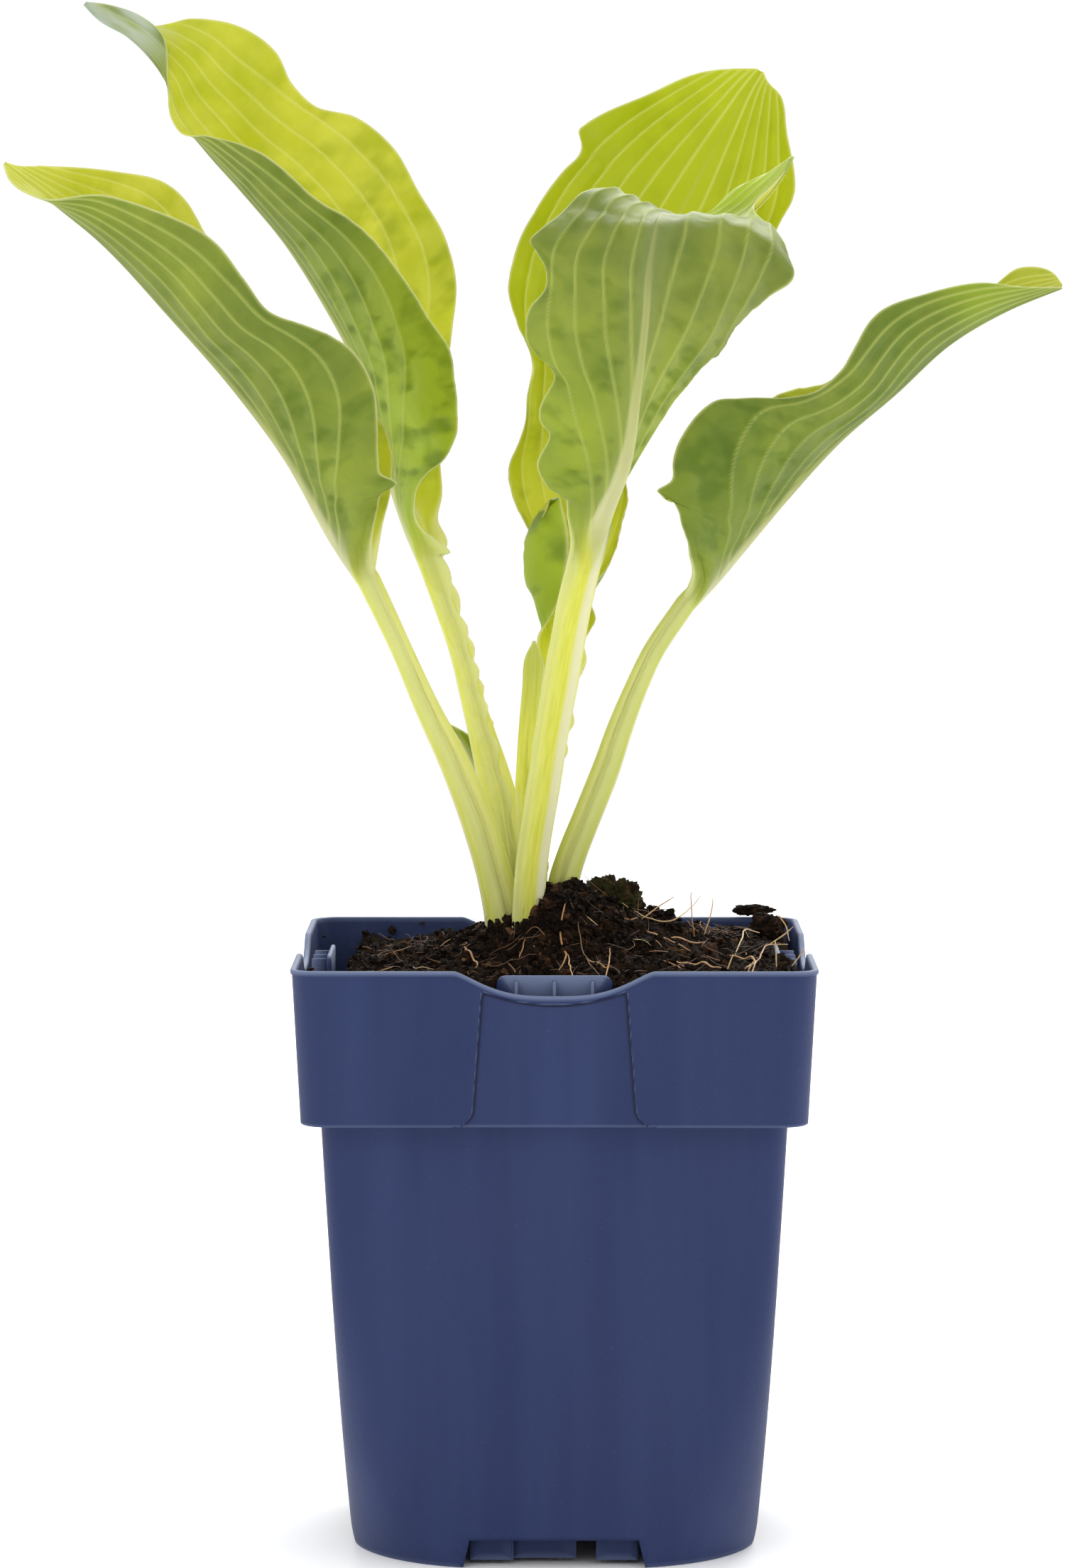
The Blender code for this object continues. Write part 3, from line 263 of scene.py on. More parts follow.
def follow(points, fractions):
    """A smooth curve through given points, read at fractions of its length.

    Each span is a cubic whose end slopes are weighted means of the spans on both sides.
    """
    points = np.array(points, float)
    spans = np.linalg.norm(np.diff(points[:, :3], axis=0), axis=1)
    marks = np.concatenate([[0], np.cumsum(spans)]) / spans.sum()
    slopes = np.gradient(points, marks, axis=0)
    at = np.clip(np.searchsorted(marks, fractions, side="right") - 1, 0, len(marks) - 2)
    span = (marks[at + 1] - marks[at])[:, None]
    s = (fractions - marks[at])[:, None] / span
    return ((2 * s ** 3 - 3 * s ** 2 + 1) * points[at] + (s ** 3 - 2 * s ** 2 + s) * span * slopes[at]
            + (3 * s ** 2 - 2 * s ** 3) * points[at + 1] + (s ** 3 - s ** 2) * span * slopes[at + 1])


def lumps(points, size, seed, layers=1, keep=0.5):
    """Soft random lumps between about -1 and 1.

    Random numbers stand on a cubic lattice of that size, and each point eases between the eight
    round it. Every further layer halves the size and keeps that share of the height.
    """
    total = 0.0
    for layer in range(layers):
        table = np.random.default_rng(seed + layer).uniform(-1, 1, (24, 24, 24))
        scaled = np.asarray(points, float) / (size / 2 ** layer)
        cell = np.floor(scaled).astype(int)
        part = ease(scaled - cell)
        for corner in product((0, 1), repeat=3):
            weight = np.where(np.array(corner) == 1, part, 1 - part).prod(axis=-1)
            i, j, k = np.moveaxis((cell + corner) % 24, -1, 0)
            total = total + keep ** layer * weight * table[i, j, k]
    return total


def skin(rings):
    """A closed skin over rings of points: four-sided faces between the rings, a fan to a pole at each end.

    The faces are turned outward, by the sign of the volume that they hold.
    """
    rows, count = rings.shape[:2]
    verts = np.concatenate([rings.reshape(-1, 3), rings[[0, -1]].mean(axis=1)])
    index = np.arange(rows * count).reshape(rows, count)
    after = np.roll(index, -1, axis=1)
    quads = np.stack([index[:-1], after[:-1], after[1:], index[1:]], -1).reshape(-1, 4)
    low = np.full(count, rows * count)
    fans = np.concatenate([np.stack([after[0], index[0], low], -1),
                           np.stack([index[-1], after[-1], low + 1], -1)])
    a, b, c, d = verts[quads.T]
    volume = (a * np.cross(b, c)).sum() + (a * np.cross(c, d)).sum()
    a, b, c = verts[fans.T]
    volume += (a * np.cross(b, c)).sum()
    if volume < 0:
        quads, fans = quads[:, ::-1], fans[:, ::-1]
    return verts, quads, fans


def with_poles(values):
    """Marks on rings, laid out like the vertices of their skin."""
    return np.concatenate([values.reshape(-1), values[[0, -1]].mean(axis=1)])


def joined(skins):
    """Several skins as one: (verts, quads, fans), with their indices shifted."""
    verts, quads, fans, shift = [], [], [], 0
    for part_verts, part_quads, part_fans in skins:
        verts.append(part_verts)
        quads.append(part_quads + shift)
        fans.append(part_fans + shift)
        shift += len(part_verts)
    return np.concatenate(verts), np.concatenate(quads), np.concatenate(fans)


def piece(name, shape, nodes, materials, marks=None, face_materials=None, smooth=True):
    """Puts a shape (verts in millimetres, then arrays of faces) into an object that stands for nodes."""
    verts, faces = shape[0], [face for part in shape[1:] for face in part.tolist()]
    mesh = bpy.data.meshes.new(name)
    mesh.from_pydata((verts * MM).tolist(), [], faces)
    for material in materials:
        mesh.materials.append(material)
    if face_materials is not None:
        mesh.polygons.foreach_set("material_index", face_materials.astype(np.int32))
    mesh.polygons.foreach_set("use_smooth", np.full(len(faces), smooth))
    for label, values in (marks or {}).items():
        mesh.attributes.new(label, "FLOAT", "POINT").data.foreach_set("value", values.astype(np.float32))
    mesh.update()
    item = bpy.data.objects.new(name, mesh)
    bpy.context.scene.collection.objects.link(item)
    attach(item, "root")
    if nodes:
        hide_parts(*nodes)
    return item


# ================================================================ finishes
NOISE_ROUGHNESS = 0.55
MIX_SHARE, MIX_FIRST, MIX_SECOND, MIX_COLOUR = 0, 6, 7, 2  # the Mix node's sockets for colours

# colours: red, green, blue and a full alpha
NAVY = (0.014, 0.025, 0.086, 1)
NAVY_STREAK = (0.021, 0.035, 0.108, 1)
NAVY_CLOUD = (0.023, 0.034, 0.096, 1)
NAVY_SPECK = (0.075, 0.095, 0.17, 1)
# painted highlight colour for the pot's edges: lip, collar foot, floor edge, channel edges, tab tops and rib
# ends
NAVY_HIGHLIGHT = (0.20, 0.25, 0.38, 1)
# painted shade colour for the thin dark line along the channels' edges
NAVY_CREASE_SHADE = (0.004, 0.007, 0.026, 1)
BLACK_PEAT = (0.004, 0.0025, 0.0015, 1)
RED_PEAT = (0.018, 0.010, 0.006, 1)
DRY_PEAT = (0.035, 0.020, 0.011, 1)
DARK_PORES = (0.005, 0.003, 0.002, 1)
MOSS = (0.075, 0.085, 0.018, 1)
FIBRE_STREAK = (0.10, 0.050, 0.022, 1)
SHADED_GREEN = (0.045, 0.12, 0.008, 1)
KEEL_GREEN = (0.52, 0.53, 0.22, 1)
KEEL_CREAM = (0.74, 0.72, 0.46, 1)
FLANK = (0.66, 0.68, 0.075, 1)
FLANK_STREAK = (0.80, 0.80, 0.16, 1)
FLANK_SHADED = (0.25, 0.36, 0.03, 1)
STALK_CREAM = (0.76, 0.74, 0.50, 1)
SILVER = (0.52, 0.58, 0.50, 1)
STAIN = (0.40, 0.19, 0.045, 1)
SHEATH_CREAM = (0.72, 0.68, 0.44, 1)
SHEATH_WHITE = (0.80, 0.78, 0.60, 1)
SHEATH_STAIN = (0.42, 0.20, 0.05, 1)
SHEATH_FRECKLE = (0.20, 0.085, 0.03, 1)
FLOOR_WHITE = (0.965, 0.965, 0.965, 1)
FLOOR_SHADE = (0.955, 0.955, 0.955, 1)
CRUMB_TONES = (  # place along the piece's tone, and the colour there
    (0.0, (0.003, 0.0015, 0.0008, 1)), (0.4, (0.010, 0.005, 0.0025, 1)), (0.7, (0.036, 0.017, 0.008, 1)),
    (0.92, (0.095, 0.046, 0.020, 1)), (1.0, (0.18, 0.10, 0.045, 1)),
)
FIBRE_TONES = (
    (0.0, (0.035, 0.018, 0.010, 1)), (0.4, (0.16, 0.070, 0.028, 1)), (0.65, (0.42, 0.21, 0.085, 1)),
    (0.85, (0.62, 0.42, 0.20, 1)), (1.0, (0.72, 0.60, 0.38, 1)),
)


def wire(tree, kind, inputs=None, **settings):
    """A shader node with its settings, and its inputs set to values or joined to other nodes' outputs."""
    node = tree.nodes.new("ShaderNode" + kind)
    for label, value in settings.items():
        setattr(node, label, value)
    for label, value in (inputs or {}).items():
        socket = node.inputs[label]
        if isinstance(value, bpy.types.NodeSocket):
            tree.links.new(value, socket)
        else:
            socket.default_value = value
    return node


def finish(name):
    """An empty material, its node tree and its output node."""
    material = bpy.data.materials.new(name)
    material.use_nodes = True
    tree = material.node_tree
    tree.nodes.clear()
    return material, tree, tree.nodes.new("ShaderNodeOutputMaterial")


def mark(tree, label):
    """The value of one of the piece's own attributes."""
    return wire(tree, "Attribute", attribute_name=label).outputs["Fac"]


def blend(tree, share, first, second):
    """Two colours mixed by a share; each of the three is a value or another node's output."""
    mix = wire(tree, "Mix", {MIX_SHARE: share, MIX_FIRST: first, MIX_SECOND: second}, data_type="RGBA")
    return mix.outputs[MIX_COLOUR]


def spread(tree, value, low, high, out_low=0.0, out_high=1.0):
    """A value from low to high, carried to out_low to out_high and held at the ends."""
    return wire(tree, "MapRange", {"Value": value, "From Min": low, "From Max": high, "To Min": out_low,
                                   "To Max": out_high}).outputs["Result"]


def times(tree, first, second):
    """The product of two values."""
    return wire(tree, "Math", {0: first, 1: second}, operation="MULTIPLY").outputs[0]


def plus(tree, first, second):
    """The sum of two values."""
    return wire(tree, "Math", {0: first, 1: second}, operation="ADD").outputs[0]


def noise(tree, scale, detail=3.0, stretch=(1, 1, 1), place=None):
    """Noise on the object's own coordinates, stretched along its axes."""
    place = place or wire(tree, "TexCoord").outputs["Object"]
    mapped = wire(tree, "Mapping", {"Vector": place, "Scale": stretch}).outputs["Vector"]
    grain = {"Vector": mapped, "Scale": scale, "Detail": detail, "Roughness": NOISE_ROUGHNESS}
    return wire(tree, "TexNoise", grain).outputs["Fac"]


def bump(tree, height, distance, strength=1.0):
    """A normal tilted by a height; the distance is in metres."""
    dents = {"Height": height, "Distance": distance, "Strength": strength}
    return wire(tree, "Bump", dents).outputs["Normal"]


def tone_colour(tree, stops):
    """The colour at the piece's own tone, in a row of colour stops."""
    ramp = wire(tree, "ValToRGB", {"Fac": mark(tree, "tone")})
    elements = ramp.color_ramp.elements
    elements[0].color = stops[0][1]
    elements[1].color = stops[-1][1]
    for place, colour in stops[1:-1]:
        elements.new(place).color = colour
    return ramp.outputs["Color"]


def end_in_surface(tree, out, inputs):
    """Ends a finish in one principled surface."""
    tree.links.new(wire(tree, "BsdfPrincipled", inputs).outputs[0], out.inputs[0])


def moulded_plastic():
    """Navy plastic: a fine matt grain, faint upright flow streaks, painted highlights on its edges and
    painted shade along the channels' edges.
    """
    material, tree, out = finish("moulded_plastic_navy")
    grain = noise(tree, 1500, 2.0)
    streak = noise(tree, 55, 3.0, (1, 1, 0.05))
    cloud = noise(tree, 22, 3.0)
    speck = noise(tree, 1600, 1.0)
    colour = blend(tree, spread(tree, streak, 0.42, 0.68), NAVY, NAVY_STREAK)
    colour = blend(tree, spread(tree, cloud, 0.35, 0.7, 0, 0.5), colour, NAVY_CLOUD)
    colour = blend(tree, spread(tree, speck, 0.68, 0.76, 0, 0.16), colour, NAVY_SPECK)
    # painted highlight: paler along the edges, by the edge highlight mark
    colour = blend(tree, times(tree, mark(tree, "edge_highlight"), 0.55), colour, NAVY_HIGHLIGHT)
    # painted shade: a thin dark line along the channels' edges
    colour = blend(tree, mark(tree, "crease_shade"), colour, NAVY_CREASE_SHADE)
    end_in_surface(tree, out, {"Base Color": colour, "Roughness": spread(tree, cloud, 0.3, 0.7, 0.48, 0.58),
                               "IOR": 1.48, "Specular IOR Level": 0.22,
                               "Normal": bump(tree, grain, 0.00015, 0.6)})
    return material


def peat():
    """Moist dark peat: near-black to red-brown, rough at every size."""
    material, tree, out = finish("peat_ground")
    coarse = noise(tree, 260, 5.0)
    fine = noise(tree, 1300, 3.0)
    colour = blend(tree, spread(tree, coarse, 0.38, 0.66), BLACK_PEAT, RED_PEAT)
    colour = blend(tree, spread(tree, fine, 0.55, 0.75, 0, 0.5), colour, DRY_PEAT)
    end_in_surface(tree, out, {"Base Color": colour, "Roughness": 0.9, "Specular IOR Level": 0.06,
                               "Normal": bump(tree, fine, 0.0006, 0.8)})
    return material


def crumb_finish():
    """Loose crumbs, each of its own tone: black peat, red-brown bark or dry tan. Some are mossy."""
    material, tree, out = finish("peat_crumbs")
    fine = noise(tree, 1700, 3.0)
    colour = blend(tree, spread(tree, fine, 0.3, 0.75, 0.0, 0.55), tone_colour(tree, CRUMB_TONES), DARK_PORES)
    colour = blend(tree, times(tree, mark(tree, "moss"), spread(tree, fine, 0.3, 0.6)), colour, MOSS)
    end_in_surface(tree, out, {"Base Color": colour, "Roughness": 0.8, "Specular IOR Level": 0.08,
                               "Normal": bump(tree, fine, 0.0005, 0.8)})
    return material


def fibre_finish():
    """Roots and straws: dark brown through orange-tan to pale straw, streaked along their length."""
    material, tree, out = finish("straw_fibres")
    fine = noise(tree, 900, 3.0)
    streak = spread(tree, fine, 0.45, 0.75, 0.0, 0.5)
    colour = blend(tree, streak, tone_colour(tree, FIBRE_TONES), FIBRE_STREAK)
    end_in_surface(tree, out, {"Base Color": colour, "Roughness": 0.6,
                               "Normal": bump(tree, fine, 0.0002, 0.5)})
    return material


def leaf_finish(name, blade, patch, deep, vein, rim, lit, gloss, light_through, bloom=None):
    """One face of a leaf.

    The blade's colour is mottled and clouded toward the deep colour, with painted shade in the ripples,
    painted light by its lit mark and painted shade by its shade mark; it has veins and a margin of their own,
    and turns to the pale stalk by the leaf's own marks. Light comes through by way of a paler filter, because
    it crosses two faces.
    """
    material, tree, out = finish(name)
    along = times(tree, mark(tree, "along"), 0.06)
    plan = wire(tree, "CombineXYZ", {"X": mark(tree, "across"), "Y": along}).outputs[0]
    streak = noise(tree, 1.6, 3.0, place=plan)
    mottle = noise(tree, 60, 4.0)
    cloud = noise(tree, 24, 2.0, (1, 1, 0.5))
    fine = noise(tree, 1100, 3.0)
    colour = blend(tree, spread(tree, mottle, 0.32, 0.68), blade, patch)
    # painted light: the lit mark lightens the face toward the lit colour
    colour = blend(tree, mark(tree, "lit"), colour, lit)
    colour = blend(tree, spread(tree, cloud, 0.42, 0.66, 0, 0.3), colour, deep)
    # painted shade in the ripples: darker toward the deep colour where the ripple mark is high
    colour = blend(tree, spread(tree, mark(tree, "ripple"), 0.45, 0.95, 0, 0.6), colour, deep)
    if bloom:
        powder = times(tree, mark(tree, "bloom"), spread(tree, mottle, 0.3, 0.7, 0.4, 0.9))
        colour = blend(tree, powder, colour, bloom)
    colour = blend(tree, times(tree, mark(tree, "shade"), 0.75), colour, SHADED_GREEN)
    colour = blend(tree, times(tree, mark(tree, "vein"), 0.62), colour, vein)
    keel = blend(tree, mark(tree, "cream"), KEEL_GREEN, KEEL_CREAM)
    colour = blend(tree, times(tree, mark(tree, "keel"), 0.92), colour, keel)
    flank = blend(tree, spread(tree, streak, 0.35, 0.75), FLANK, FLANK_STREAK)
    flank = blend(tree, mark(tree, "shade"), flank, FLANK_SHADED)
    stalk = blend(tree, mark(tree, "flank"), STALK_CREAM, flank)
    colour = blend(tree, mark(tree, "pale"), colour, stalk)
    colour = blend(tree, times(tree, mark(tree, "rim"), 0.8), colour, rim)
    colour = blend(tree, mark(tree, "silver"), colour, SILVER)
    colour = blend(tree, mark(tree, "stain"), colour, STAIN)
    height = plus(tree, times(tree, streak, 0.6), times(tree, fine, 0.4))
    normal = bump(tree, height, 0.0002, 0.6)
    face = wire(tree, "BsdfPrincipled", {"Base Color": colour, "Roughness": gloss, "IOR": 1.4,
                                         "Specular IOR Level": 0.28, "Normal": normal})
    filtered = wire(tree, "Gamma", {"Color": colour, "Gamma": 0.6}).outputs[0]
    through = wire(tree, "BsdfTranslucent", {"Color": filtered, "Normal": normal})
    mixed = wire(tree, "MixShader", {0: light_through, 1: face.outputs[0], 2: through.outputs[0]})
    tree.links.new(mixed.outputs[0], out.inputs[0])
    return material


def crown_finish():
    """Cream sheath bases with brown freckles, and wet stains near the peat."""
    material, tree, out = finish("crown_sheaths")
    mottle = noise(tree, 160, 4.0)
    freckle = noise(tree, 700, 2.0)
    colour = blend(tree, spread(tree, mottle, 0.35, 0.65), SHEATH_CREAM, SHEATH_WHITE)
    colour = blend(tree, mark(tree, "stain"), colour, SHEATH_STAIN)
    colour = blend(tree, spread(tree, freckle, 0.66, 0.72, 0, 0.8), colour, SHEATH_FRECKLE)
    end_in_surface(tree, out, {"Base Color": colour, "Roughness": 0.45, "Subsurface Weight": 0.15,
                               "Subsurface Radius": (0.004, 0.003, 0.001),
                               "Normal": bump(tree, mottle, 0.0004, 0.5)})
    return material


def floor_finish():
    """A pale, almost even floor."""
    material, tree, out = finish("pale_floor")
    colour = blend(tree, noise(tree, 3, 2.0), FLOOR_SHADE, FLOOR_WHITE)
    end_in_surface(tree, out, {"Base Color": colour, "Roughness": 0.8})
    return material


# ================================================================ pot
SIDE_REACH = 26.0  # the part of each side, from its middle, whose columns are fixed
EDGE_BAND_FROM = 17.0  # columns are closer beyond this, where the channel's edges run
MIDDLE_COLUMNS = 14
EDGE_BAND_COLUMNS = 36
CORNER_COLUMNS = 18
COLLAR_LOW_ROWS_TO = 118.0
COLLAR_HIGH_ROWS_FROM = 141.0
DIP_FADES_OVER = 12.0  # how far below the rim the dip still pulls the collar's rows down
LIP_ROOT = 0.3  # the strip under the lip that the dip carries down whole, with the lip
# how much painted highlight runs along the channels' edges
EDGE_HIGHLIGHT = 0.55


def body_half(z):
    return BASE_HALF + (BODY_TOP_HALF - BASE_HALF) * z / COLLAR_FOOT_Z


def body_radius(z):
    """Corners are tight at the top of the body and grow wide toward the foot."""
    return BODY_RADIUS + BASE_EXTRA_RADIUS * max(0.0, 1 - z / RADIUS_FADES_AT) ** RADIUS_POWER


def dip_edge(x):
    """The rim's height along a side: level, with a smooth dip in the middle."""
    return POT_HEIGHT - DIP_DEPTH * (1 - np.clip(np.abs(x) / DIP_HALF_WIDTH, 0, 1) ** 3) ** 1.5


def channel_share(x, z, soft=CHANNEL_EDGE):
    """1 inside the shallow channel below a dip, 0 outside, with a soft step between.

    The channel's sides run outward as they go down and flare in a quarter circle at the foot; its top
    is a parabola that follows the dip.
    """
    run = (COLLAR_FOOT_Z + CHANNEL_FLARE + BAND_RISE * 10 - z) / (BAND_RISE * 10)
    edge = CHANNEL_TOP_HALF + (CHANNEL_LOW_HALF - CHANNEL_TOP_HALF) * np.clip(run, 0, 1)
    down = np.clip(COLLAR_FOOT_Z + CHANNEL_FLARE - z, 0, CHANNEL_FLARE)
    edge = edge + CHANNEL_FLARE - np.sqrt(CHANNEL_FLARE ** 2 - down ** 2)
    top = BAND_LOW_Z + BAND_RISE * (x / CHANNEL_TOP_HALF) ** 2
    return ease((edge - np.abs(x)) / soft + 0.5) * ease((top - z) / soft + 0.5)


def square_ring(half, radius, z):
    """A level square with rounded corners, from the middle of the front side anticlockwise.

    Along each side the middle has fixed columns, and the rest of the side and its half of the
    corner share theirs by length.
    """
    reach_middle = min(SIDE_REACH, half - radius - 0.3)
    right = np.concatenate([np.linspace(0, EDGE_BAND_FROM, MIDDLE_COLUMNS + 1)[:-1],
                            np.linspace(EDGE_BAND_FROM, SIDE_REACH, EDGE_BAND_COLUMNS + 1)])
    right = right * reach_middle / SIDE_REACH
    middle = np.concatenate([-right[:0:-1], right])
    straight = half - radius - reach_middle
    reach = np.linspace(0, 1, CORNER_COLUMNS + 1)[1:] * (straight + radius * pi / 4)
    angle = np.maximum(reach - straight, 0) / radius
    along = reach_middle + np.minimum(reach, straight) + radius * np.sin(angle)
    out = half - radius * (1 - np.cos(angle))
    x = np.concatenate([-along[::-1], middle, along[:-1]])
    y = np.concatenate([-out[::-1], np.full(len(middle), -half), -out[:-1]])
    sides = [np.stack([x * cos(t) - y * sin(t), x * sin(t) + y * cos(t)], -1) for t in QUARTER_TURNS]
    ring = np.concatenate(sides)
    return np.column_stack([ring, np.full(len(ring), z)])


def side_coordinates(ring):
    """Each point's place along its own side of the square, measured from the side's middle."""
    x, y = ring[..., 0], ring[..., 1]
    return np.where(np.abs(y) >= np.abs(x), x, y)


def pot_rings():
    """The pot's profile from the middle of the floor's underside, round the foot, up and back inside."""
    rings, edge_highlight = [], []

    # each ring carries its share of painted edge highlight
    def add(half, radius, z, highlight=0.0):
        rings.append(square_ring(half, radius, z))
        edge_highlight.append(highlight)

    inner_foot = body_half(0) - BODY_WALL
    foot_radius = body_radius(0)
    add(inner_foot, foot_radius - BODY_WALL, FLOOR_UNDERSIDE)
    add(inner_foot, foot_radius - BODY_WALL, FLOOR_UNDERSIDE - 0.3)
    add(inner_foot, foot_radius - BODY_WALL, 0.25)
    add(inner_foot + 0.25, foot_radius - BODY_WALL + 0.25, 0.0, 0.5)
    add(body_half(0) - 0.25, foot_radius - 0.25, 0.0, 0.6)
    add(body_half(0), foot_radius, 0.3, 0.3)
    for z in np.linspace(1.5, COLLAR_FOOT_Z - 0.4, 34):
        add(body_half(z), body_radius(z), z)
    add(body_half(COLLAR_FOOT_Z) + 0.2, BODY_RADIUS + 0.2, COLLAR_FOOT_Z)
    add(COLLAR_FOOT_HALF - 0.4, COLLAR_RADIUS, COLLAR_FOOT_Z, 0.5)
    lip_foot = POT_HEIGHT - LIP_HEIGHT
    levels = np.concatenate([[COLLAR_FOOT_Z + 0.35],
                             np.linspace(COLLAR_FOOT_Z + 0.9, COLLAR_LOW_ROWS_TO, 12)[:-1],
                             np.linspace(COLLAR_LOW_ROWS_TO, COLLAR_HIGH_ROWS_FROM, 13)[:-1],
                             np.linspace(COLLAR_HIGH_ROWS_FROM, lip_foot - 0.2, 30)])
    collar_grows = RIM_HALF - LIP_OUT - COLLAR_FOOT_HALF
    for z in levels:
        half = COLLAR_FOOT_HALF + collar_grows * (z - COLLAR_FOOT_Z) / (lip_foot - COLLAR_FOOT_Z)
        add(half, COLLAR_RADIUS, z, 0.35 if z < COLLAR_FOOT_Z + 0.5 else 0.0)
    add(RIM_HALF - 0.1, COLLAR_RADIUS, lip_foot + 0.1, 0.25)
    add(RIM_HALF, COLLAR_RADIUS, lip_foot + 0.35, 0.4)
    add(RIM_HALF, COLLAR_RADIUS, POT_HEIGHT - 0.4, 0.9)
    add(RIM_HALF - 0.15, COLLAR_RADIUS, POT_HEIGHT - 0.1, 1.0)
    add(RIM_HALF - 0.5, COLLAR_RADIUS - 0.4, POT_HEIGHT, 1.0)
    add(RIM_HALF - COLLAR_WALL + 0.4, COLLAR_RADIUS - COLLAR_WALL + 0.2, POT_HEIGHT, 0.9)
    inner_top = RIM_HALF - COLLAR_WALL
    inner_low = COLLAR_FOOT_HALF - COLLAR_WALL
    shoulder_top = COLLAR_FOOT_Z + SHOULDER
    for z in np.concatenate([[POT_HEIGHT - 0.35], np.linspace(POT_HEIGHT - 1.5, shoulder_top, 18)]):
        half = inner_low + (inner_top - inner_low) * (z - shoulder_top) / (POT_HEIGHT - shoulder_top)
        add(half, COLLAR_RADIUS - COLLAR_WALL, z, 0.3 if z > POT_HEIGHT - 0.5 else 0.0)
    for z in np.linspace(shoulder_top, FLOOR_TOP, 14):
        add(body_half(z) - BODY_WALL, body_radius(z) - BODY_WALL, z)
    return np.array(rings), np.array(edge_highlight)


def make_pot(material):
    """The pot in one closed skin, with the rim's dips and the channels worked into its rings."""
    rings, edge_highlight = pot_rings()
    x = side_coordinates(rings)
    level = rings[..., 2]
    fades = ease((level - (POT_HEIGHT - DIP_FADES_OVER)) / (DIP_FADES_OVER - LIP_HEIGHT - 0.1))
    carried = np.where(level > POT_HEIGHT - LIP_HEIGHT - LIP_ROOT, 1.0, fades)
    on_collar = level > COLLAR_FOOT_Z + 6
    z = np.where(on_collar, level - (POT_HEIGHT - dip_edge(x)) * carried, level)
    rings[..., 2] = z
    row = np.arange(len(rings))[:, None]
    rim_row = int(np.argmax(level[:, 0]))
    far = np.maximum(np.abs(rings[..., 0]), np.abs(rings[..., 1]))
    outer = (row > 0) & (row < rim_row) & (level >= COLLAR_FOOT_Z - 0.01) & (far > COLLAR_FOOT_HALF - 1.0)
    on_front_or_back = np.abs(rings[..., 1:2]) >= np.abs(rings[..., 0:1])
    towards = np.where(on_front_or_back, np.stack([0 * x, np.sign(rings[..., 1])], -1),
                       np.stack([np.sign(rings[..., 0]), 0 * x], -1))
    share = channel_share(x, z) * outer
    rings[..., :2] -= towards * (CHANNEL_DEPTH * share)[..., None]
    # painted shade: a thin dark line along the channels' edges
    wide = channel_share(x, z, CREASE_SHADE_SPREAD) * outer
    crease_shade = ease((wide - 0.48) / 0.06) * ease((0.92 - wide) / 0.3)
    # painted highlight along the channels' edges
    channel_highlight = EDGE_HIGHLIGHT * outer * ease(share / 0.06) * ease((0.5 - share) / 0.3)
    highlight = np.clip(np.repeat(edge_highlight[:, None], rings.shape[1], axis=1) + channel_highlight, 0, 1)
    pot = piece("nursery_pot", skin(rings), ["pot"], [material],
                {"edge_highlight": with_poles(highlight), "crease_shade": with_poles(crease_shade)})
    cut_foot(pot)


def slab(outline, front, back, turn, soft=0.25):
    """An upright plate with softened edges, from an outline in x and z between two depths in y.

    Rings go from the middle of one face to its edge, round the thickness and back to the middle of the
    other; the plate is turned about the pot's axis.
    """
    outline = np.array(outline, float)
    centre = outline.mean(axis=0)
    tight = 1 - soft / np.abs(outline - centre).max(axis=0).clip(0.5)
    rings = []
    for shrink, depth in ((0.5 * tight, front), (tight, front), (1.0, front + soft), (1.0, back - soft),
                          (tight, back), (0.5 * tight, back)):
        xz = centre + (outline - centre) * shrink
        rings.append(np.column_stack([xz[:, 0], np.full(len(xz), depth), xz[:, 1]]))
    rings = np.array(rings)
    x, y = rings[..., 0].copy(), rings[..., 1].copy()
    rings[..., 0] = x * cos(turn) - y * sin(turn)
    rings[..., 1] = x * sin(turn) + y * cos(turn)
    return skin(rings)


def round_rect(left, right, low, high, radius, steps=5):
    """A rectangle's outline with rounded corners, each corner a quarter circle."""
    points = []
    for centre_x, centre_z, start in ((right - radius, high - radius, 0), (left + radius, high - radius, 1),
                                      (left + radius, low + radius, 2), (right - radius, low + radius, 3)):
        for step in range(steps + 1):
            angle = (start + step / steps) * pi / 2
            points.append((centre_x + radius * cos(angle), centre_z + radius * sin(angle)))
    return points


def make_tabs(material):
    """The grip tab behind each dip, with the three ribs that tie it to the collar."""
    parts = []
    foot = COLLAR_FOOT_Z + SHOULDER / 2
    for turn in QUARTER_TURNS:
        outline = round_rect(-TAB_HALF_WIDTH, TAB_HALF_WIDTH, foot, TAB_TOP, 2.4)
        parts.append(slab(outline, -TAB_INSET, -TAB_INSET + TAB_THICKNESS, turn))
        for x in RIB_PLACES:
            reach = COLLAR_FOOT_HALF - TAB_INSET - 0.9
            outline = round_rect(x - RIB_THICKNESS / 2, x + RIB_THICKNESS / 2, foot, RIB_TOP, 0.25, 2)
            parts.append(slab(outline, -TAB_INSET - reach, -TAB_INSET + 0.2, turn, soft=0.1))
    shape = joined(parts)
    height = shape[0][:, 2]
    front = np.max(np.abs(shape[0][:, :2]), axis=1)
    # painted highlight on the tabs' top edges and the ribs' outer ends
    edge_highlight = np.maximum(ease((height - TAB_TOP + 0.9) / 0.7), 0.8 * ease((front - TAB_INSET - 0.5) / 0.8))
    return piece("grip_tabs", shape, [], [material], {"edge_highlight": edge_highlight})


